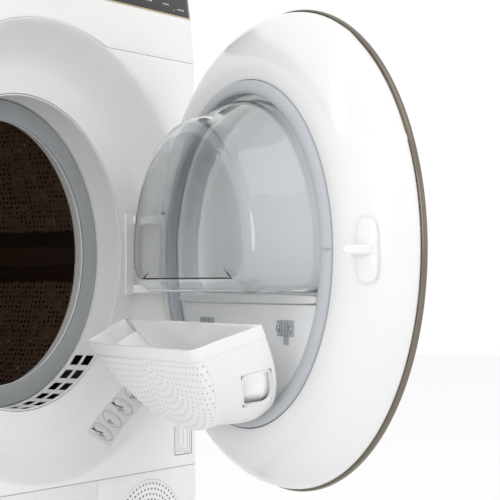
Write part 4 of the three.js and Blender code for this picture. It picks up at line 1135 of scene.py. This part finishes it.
@dataclass
class FilterSeat:
    """The white housing behind the bowl and filter."""

    palette: Palette
    seal_z: float = 417.0
    pan_r: float = 172.8
    wall_top: float = 360.8
    lip_top: float = 371.3

    def build(self) -> None:
        """The pan behind the bowl, the wall in front of it, the lip under the bowl and two ribbed windows."""
        pan = softened([(0, -5.5), (150, -5.5), (163, -3), (170.5, 4), (171.6, 12), (171.6, 26.4),
                        (193.4, 26.4), (193.4, 24.2), (174, 24.2), (173.8, -2), (170, -8), (0, -8)], 3, 2)
        pan[0, 0] = pan[-1, 0] = 0
        make("housing_pan", lathed(pan, (0, self.seal_z), 192, closed=False), Build("door", DOOR,
             self.palette.bright_pp, replaces=("filter_housing",), outward=True))
        self.plate("housing_wall", self.wall_top, 26.2, 29.6)
        half = math.sqrt(self.pan_r**2 - (self.seal_z - self.lip_top) ** 2) - 6
        outline = pillow(half, (self.lip_top - self.wall_top) / 2 - 0.7, 120, 7)
        levels = [(0.0, 26.4), (1.0, 26.4), (1.0, 33.0), (0.995, 34.0), (0.97, 34.5), (0.0, 34.5)]
        middle = (self.lip_top + self.wall_top) / 2 + 0.7
        grid = np.stack([np.stack([outline[:, 0] * k, 0 * outline[:, 0] + e, middle + outline[:, 1] * k],
                                  1) for k, e in levels])
        make("bowl_lip", Sheet.grid(grid, around=True),
             Build("door", DOOR, self.palette.gloss_white, outward=True))
        for side, x in (("left", 92.0), ("right", -92.0)):
            self.window(side, x)

    def plate(self, name: str, top: float, e0: float, e1: float) -> None:
        """A round plate cut straight at the top: at height z it reaches x = +-sqrt(r^2 - (c - z)^2).

        Args:
            name: the piece's name.
            top: Z of the straight top.
            e0: depth of its back.
            e1: depth of its face.
        """
        z = (top - (top - self.seal_z + self.pan_r) * np.linspace(0, 1, 40) ** 2)[:, None]
        reach = np.sqrt(np.maximum(self.pan_r**2 - (self.seal_z - z) ** 2, 0.0))
        x = reach * np.sin(np.linspace(-1, 1, 60) * np.pi / 2)
        edge = np.hypot(x, self.seal_z - z) / self.pan_r
        grid = np.stack([x, e1 - 1.2 * smooth((edge - 0.96) / 0.04), z + 0 * x], 2)
        make(name, Sheet.grid(grid).facing(INSIDE),
             Build("door", DOOR, self.palette.bright_pp, wall=e1 - e0 - 1))

    def window(self, side: str, x: float) -> None:
        """A ribbed grey window with a screw at each end and a grey block below it; its two outer ribs are
        painted darker grey, painted shade for two dark slots.

        Args:
            side: left or right, for the names.
            x: X of the window's middle.
        """
        low, high = 327.0, 344.5
        palette = self.palette
        make(f"window_{side}_plate", block((x - 18.0, 29.4, low), (x + 18.0, 31.0, high)), Build("door", DOOR,
             palette.seal, "seal_grey", edge=1.2, outward=True))
        # The outer two ribs take the darker grey as painted shade for two dark slots; the middle rib keeps
        # the seal grey.
        for k, offset in enumerate((-5.5, -0.5, 4.5)):
            make(f"window_{side}_rib_{k + 1}",
                 block((x + offset - 1.3, 30.8, low + 1), (x + offset + 1.3, 33.4, high - 1)),
                 Build("door", DOOR, palette.grey_ink_and_slot_shade if k != 1 else palette.seal, "seal_grey", edge=0.5,
                       outward=True))
        for k, offset in enumerate((-13.0, 13.0)):
            head = softened([(0, 33.6), (2.4, 33.5), (3.2, 32.8), (3.4, 30.9), (0, 30.9)], 0.5, 2)
            make(f"window_{side}_screw_{k + 1}",
                 lathed(head, (x + offset, (low + high) / 2), 24, closed=False),
                 Build("door", DOOR, palette.bright_zinc, "zinc", outward=True))
        # A thin grey block below the window.
        make(f"window_{side}_grey_block_below", block((x - 6, 29.4, low - 9), (x + 4, 30.6, low)),
             Build("door", DOOR, palette.seal, "seal_grey", edge=0.5, outward=True))


@dataclass
class FluffFilter:
    """The scoop that fills the space under the bowl, seen swung out."""

    palette: Palette
    seal_z: float = 417.0
    back: float = 37.0
    rim_top: float = 372.3
    rim_slope: float = math.tan(math.radians(11.0))
    band: float = 14.0
    line: tuple[tuple[float, float], ...] = ((173, 37), (171.5, 50), (162, 65.5), (153, 79.5), (150.6, 86),
                                             (148.2, 95), (145, 100), (138, 104), (120, 104.7), (60, 105),
                                             (33, 105))
    heel: tuple[tuple[float, float], ...] = ((37, 264.5), (54.3, 252), (63.5, 245), (72, 239))
    grip_turn: tuple[float, float] = (-57.0, -36.0)
    grip_depth: tuple[float, float] = (42.0, 71.0)
    wall: float = 2.0
    middle: tuple[float, float, float] = (0.0, 70.0, 400.0)

    def path(self, out: float = 0.0) -> np.ndarray:
        """The flank's section from the back plate to the end, moved outwards by out."""
        line = softened(list(self.line), 2.2, 3)
        ahead = np.gradient(line, axis=0)
        normal = np.stack([ahead[:, 1], -ahead[:, 0]], 1) / np.hypot(*ahead.T)[:, None]
        return line + normal * out

    def top(self, e: np.ndarray) -> np.ndarray:
        """Height of the sloping rim at a depth."""
        return self.rim_top + self.rim_slope * (e - self.back)

    def lifted(self, grid: np.ndarray) -> np.ndarray:
        """The grid with its heel cut off: no point lies under the heel's sloping line."""
        heel = np.interp(grid[..., 1], *np.array(self.heel).T, right=0.0)
        grid[..., 2] = np.maximum(grid[..., 2], heel)
        return grid

    def arcs(self, path: np.ndarray, drop: float, limit: float = 180.0,
             count: int = 121) -> tuple[np.ndarray, np.ndarray]:
        """Arcs about the door's axis under the rim: at each depth a runs between the two rim points.

        Args:
            path: points (radius, depth).
            drop: how far below the rim the arcs stop.
            limit: the longest reach of an arc, degrees.
            count: points on an arc.

        Returns:
            The grid of points and the turn of each point, radians.
        """
        r, e = path[:, :1], path[:, 1:]
        reach = np.arccos(np.clip((self.seal_z - self.top(e) + drop) / r, -1, 1))
        reach = np.minimum(reach, math.radians(limit))
        turn = reach * np.linspace(-1, 1, count)
        grid = np.stack([r * np.sin(turn), e + 0 * turn, self.seal_z - r * np.cos(turn)], 2)
        return self.lifted(grid), turn

    def build_scoop(self) -> None:
        """The flank and end of the scoop with the finger grip left open."""
        path = self.path()
        grid, turn = self.arcs(path, 0.0)
        mid_turn = np.degrees((turn[:-1, :-1] + turn[1:, 1:]) / 2)
        mid_e = (path[:-1, 1] + path[1:, 1])[:, None] / 2
        first, last = self.grip_turn
        in_turn = (mid_turn > first) & (mid_turn < last)
        hole = in_turn & (mid_e > self.grip_depth[0]) & (mid_e < self.grip_depth[1])
        make("scoop_shell", Sheet.grid(grid, keep=~hole).facing(self.middle, away=True),
             Build("filter", FILTER, self.palette.satin_white, replaces=("filter_frame",), wall=self.wall))
        rows = np.array([0.25, 0.5, 0.75, 0.9, 1.0])[:, None] * 171.5
        drop = self.seal_z - self.rim_top
        plate = np.concatenate([[[drop + 0.5]], rows[rows[:, 0] > drop + 1][:, None].reshape(-1, 1)])
        path = np.concatenate([plate, 0 * plate + self.back + 1.8], 1)
        grid, _ = self.arcs(path, 0.0)
        make("scoop_back", Sheet.grid(grid).facing(INSIDE),
             Build("filter", FILTER, self.palette.frosted, wall=1.8))

    def build_band(self) -> None:
        """The rim band: the same section a little further out, from the rim down by the band's height."""
        path = self.path(1.0)
        height = np.concatenate([[0.0], np.linspace(0.3, self.band, 9)])[None, :]
        e = path[:, 1:]
        inside = path[:, :1] ** 2 - (self.seal_z - self.top(e) + height - 0.6) ** 2
        x = np.sqrt(np.maximum(inside, 0.0))
        z = self.top(e) - height + 0.6
        half = np.stack([x, e + 0 * x, z], 2)
        grid = np.concatenate([half, (half * [-1, 1, 1])[::-1]])
        make("rim_band", Sheet.grid(grid).facing(self.middle, away=True),
             Build("filter", FILTER, self.palette.satin_white, wall=2.6, edge=0.5))

    def build_sieve(self) -> None:
        """The pierced field on the end and lower flank, unrolled about the axis for its rings of holes."""
        path = self.path(0.35)
        length = np.concatenate([np.cumsum(np.hypot(*np.diff(path, axis=0).T)[::-1])[::-1], [0]])
        reach = length + path[-1, 0]
        chosen = path[:, 1] > 97
        grid, turn = self.arcs(path[chosen], self.band + 1.5, 80.0)
        far = reach[chosen][:, None]
        flat = np.stack([far * np.sin(turn), -far * np.cos(turn)], 2)
        make("sieve", Sheet.grid(grid, flat=flat).facing(self.middle, away=True),
             Build("filter", FILTER, self.palette.filter_sieve, replaces=("filter_mesh",), wall=0.5))

    def build_grip(self) -> None:
        """The rounded frame of the finger grip, a band carried round a superellipse on the flank."""
        path = self.path()
        first, last = np.radians(self.grip_turn)
        e0, e1 = self.grip_depth
        outline = pillow(1.0, 1.0, 96, 5.0)
        rows = []
        for grow, out in ((1.02, 0.15), (1.0, 0.35), (0.96, 0.25), (0.94, -1.0), (0.94, -4.5), (1.0, -4.5)):
            turn = (first + last) / 2 + outline[:, 0] * (last - first) / 2 * grow
            e = (e0 + e1) / 2 + outline[:, 1] * (e1 - e0) / 2 * grow
            r = np.interp(e, path[:, 1], path[:, 0]) + out
            rows.append(np.stack([r * np.sin(turn), e, self.seal_z - r * np.cos(turn)], 1))
        make("grip_frame", Sheet.grid(np.stack(rows), around=True, closed=True), Build("filter", FILTER,
             self.palette.gloss_white, outward=True))

    def build_inside(self) -> None:
        """The frosted inner basket: a second, smaller scoop with soft ribs, and the two pivot arms."""
        path = self.path(-9.0)
        path = path[path[:, 0] > 70]
        grid, turn = self.arcs(path, 16.0)
        bump = 1.2 * np.cos(np.degrees(turn) / 12 * 2 * np.pi)
        grid[..., 2] += bump * smooth((grid[..., 1] - 42) / 10)
        grid[..., 2] = np.maximum(grid[..., 2], np.interp(grid[..., 1], *np.array(self.heel).T) + 5.0)
        make("inner_basket", Sheet.grid(grid).facing(self.middle),
             Build("filter", FILTER, self.palette.frosted, wall=1.2))
        for side in (-1, 1):
            self.arm("left" if side > 0 else "right", 22.0 * side)

    def arm(self, side: str, x: float) -> None:
        """A flat pivot arm: its outline carried across its width and closed at both ends.

        Args:
            side: left or right, for the name.
            x: X of the arm's middle.
        """
        outline = np.array([(17.2, 249.4), (18.8, 248.7), (20.4, 249.4), (38.4, 271), (38.4, 278),
                            (36.6, 278), (17.6, 253.6), (16.4, 252)])
        centre = np.array([27.5, 262.5])
        rows = [np.column_stack([np.full(8, x + 2.7 * way), centre + (outline - centre) * scale])
                for way, scale in ((-1, 0.0), (-1, 1.0), (1, 1.0), (1, 0.0))]
        make(f"pivot_arm_{side}", Sheet.grid(np.stack(rows), around=True), Build("filter", FILTER,
             self.palette.satin_white, outward=True))


# ---- Carried-over nodes -------------------------------------------------------------------
def dress_nodes(palette: Palette) -> None:
    """Gives every node that keeps its own shape the finish of the real piece.

    Args:
        palette: the finishes.
    """
    looks: dict[str, tuple[str, ...]] = {
        "dark_pp": ("base_tray", "filter_duct", "fan_housing", "fan_wheel", "compressor", "power_inlet"),
        "rubber": ("foot_front_left", "foot_front_right", "foot_rear_left", "foot_rear_right", "drive_belt",
                   "roller_left", "roller_right", "tension_pulley"),
        "enamel": ("left_side_panel", "right_side_panel", "hinge_bracket", "hinge_leaf"),
        "gloss_white": ("top_panel",),
        "satin_white": ("condensate_pump", "door_catch"),
        "brown_steel": ("drum_lifter_1", "drum_lifter_2", "drum_lifter_3"),
        "zinc": ("back_panel", "front_bulkhead", "rear_bulkhead", "rear_bearing", "rear_air_cover"),
        "bright_zinc": ("hinge_pin", "drum_shaft", "motor_pulley"),
        "mill_aluminium": ("motor", "evaporator", "condenser"),
        "piano_black": ("display_window", "tank_drawer"),
        "board": ("control_board",),
    }
    for look, names in looks.items():
        for name in names:
            mesh = frame["nodes"][name].data
            mesh.materials.clear()
            mesh.materials.append(getattr(palette, look))


# ---- Stage --------------------------------------------------------------------------------
@dataclass
class Stage:
    """Camera, lamps and floor."""

    eye: tuple[float, float, float] = (-1379.98, -1182.24, 386.19)
    yaw: float = 56.61
    pitch: float = 1.14
    roll: float = -0.225
    lens: float = 112.96

    def build_camera(self) -> None:
        """Stands the camera to the left of the machine at mid height, looking across the open door."""
        data = bpy.data.cameras.new("camera")
        data.lens, data.sensor_width = self.lens, 36.0
        data.clip_start, data.clip_end = 0.05, 60.0
        camera = bpy.data.objects.new("camera", data)
        bpy.context.scene.collection.objects.link(camera)
        a, p, r = (math.radians(angle) for angle in (self.yaw, self.pitch, self.roll))
        ahead = Vector((math.sin(a) * math.cos(p), math.cos(a) * math.cos(p), math.sin(p)))
        right = Vector((math.cos(a), -math.sin(a), 0.0))
        up = right.cross(ahead)
        tilted_right = right * math.cos(r) + up * math.sin(r)
        tilted_up = up * math.cos(r) - right * math.sin(r)
        turn = Matrix((tilted_right, tilted_up, -ahead)).transposed()
        camera.matrix_world = Matrix.Translation(CABINET.matrix @ Vector(self.eye)) @ turn.to_4x4()
        bpy.context.scene.camera = camera

    def lamp(self, name: str, at: tuple[float, float, float], aim: tuple[float, float, float],
             size: tuple[float, float], power: float) -> None:
        """One soft box, aimed at a point.

        Args:
            name: the lamp's name.
            at: where it stands, metres.
            aim: what it looks at, metres.
            size: its width and height, metres.
            power: watts.
        """
        data = bpy.data.lights.new(name, "AREA")
        data.shape, data.size, data.size_y, data.energy = "RECTANGLE", size[0], size[1], power
        lamp = bpy.data.objects.new(name, data)
        lamp.location = at
        lamp.rotation_euler = (Vector(aim) - Vector(at)).to_track_quat("-Z", "Y").to_euler()
        bpy.context.scene.collection.objects.link(lamp)

    def build_light(self) -> None:
        """An even white room, three soft boxes and a pale floor."""
        world = bpy.data.worlds.new("white_room")
        world.use_nodes = True
        world.node_tree.nodes["Background"].inputs[0].default_value = (1.0, 1.0, 1.0, 1.0)
        world.node_tree.nodes["Background"].inputs[1].default_value = 1.02
        bpy.context.scene.world = world
        self.lamp("overhead_box", (-0.4, -1.4, 2.6), (0.0, -0.3, 0.3), (2.4, 1.8), 9.0)
        self.lamp("window_box", (-2.3, -0.95, 1.0), (0.1, -0.4, 0.4), (0.9, 1.1), 8.0)
        self.lamp("front_box", (0.3, -3.2, 1.0), (0.1, 0.0, 0.4), (2.0, 1.6), 2.5)
        view = bpy.context.scene.view_settings
        view.view_transform = "Standard"
        view.look = "None"
        mesh = bpy.data.meshes.new("floor")
        low = -FOOT * MM
        mesh.from_pydata([(-6, -6, low), (6, -6, low), (6, 6, low), (-6, 6, low)], [], [(0, 1, 2, 3)])
        floor = bpy.data.objects.new("floor", mesh)
        bpy.context.scene.collection.objects.link(floor)
        mesh.materials.append(Finish("pale_floor", "#F7F7F7", 0.8, Pattern.MOULD_GRAIN, 4.0, 0.01,
                                     shade=0.01).build())


def main() -> None:
    """Builds the machine piece by piece."""
    stage = Stage()
    stage.build_camera()
    stage.build_light()
    palette = Palette()
    case = FrontCase(palette)
    case.build_front_panel()
    case.build_plinth()
    case.build_fascia()
    marks = PrintedMarks(palette, case)
    marks.build_label()
    marks.build_book()
    marks.build_legends()
    Controls(palette, case).build()
    throat = Throat(palette)
    throat.build_wall()
    throat.build_lip()
    throat.build_drum()
    ring = DoorRing(palette)
    ring.build_shell()
    ring.build_rim()
    ring.build_seal()
    ring.build_hook()
    Bowl(palette).build()
    FilterSeat(palette).build()
    scoop = FluffFilter(palette)
    scoop.build_scoop()
    scoop.build_band()
    scoop.build_sieve()
    scoop.build_grip()
    scoop.build_inside()
    dress_nodes(palette)


if __name__ == "__main__":
    main()
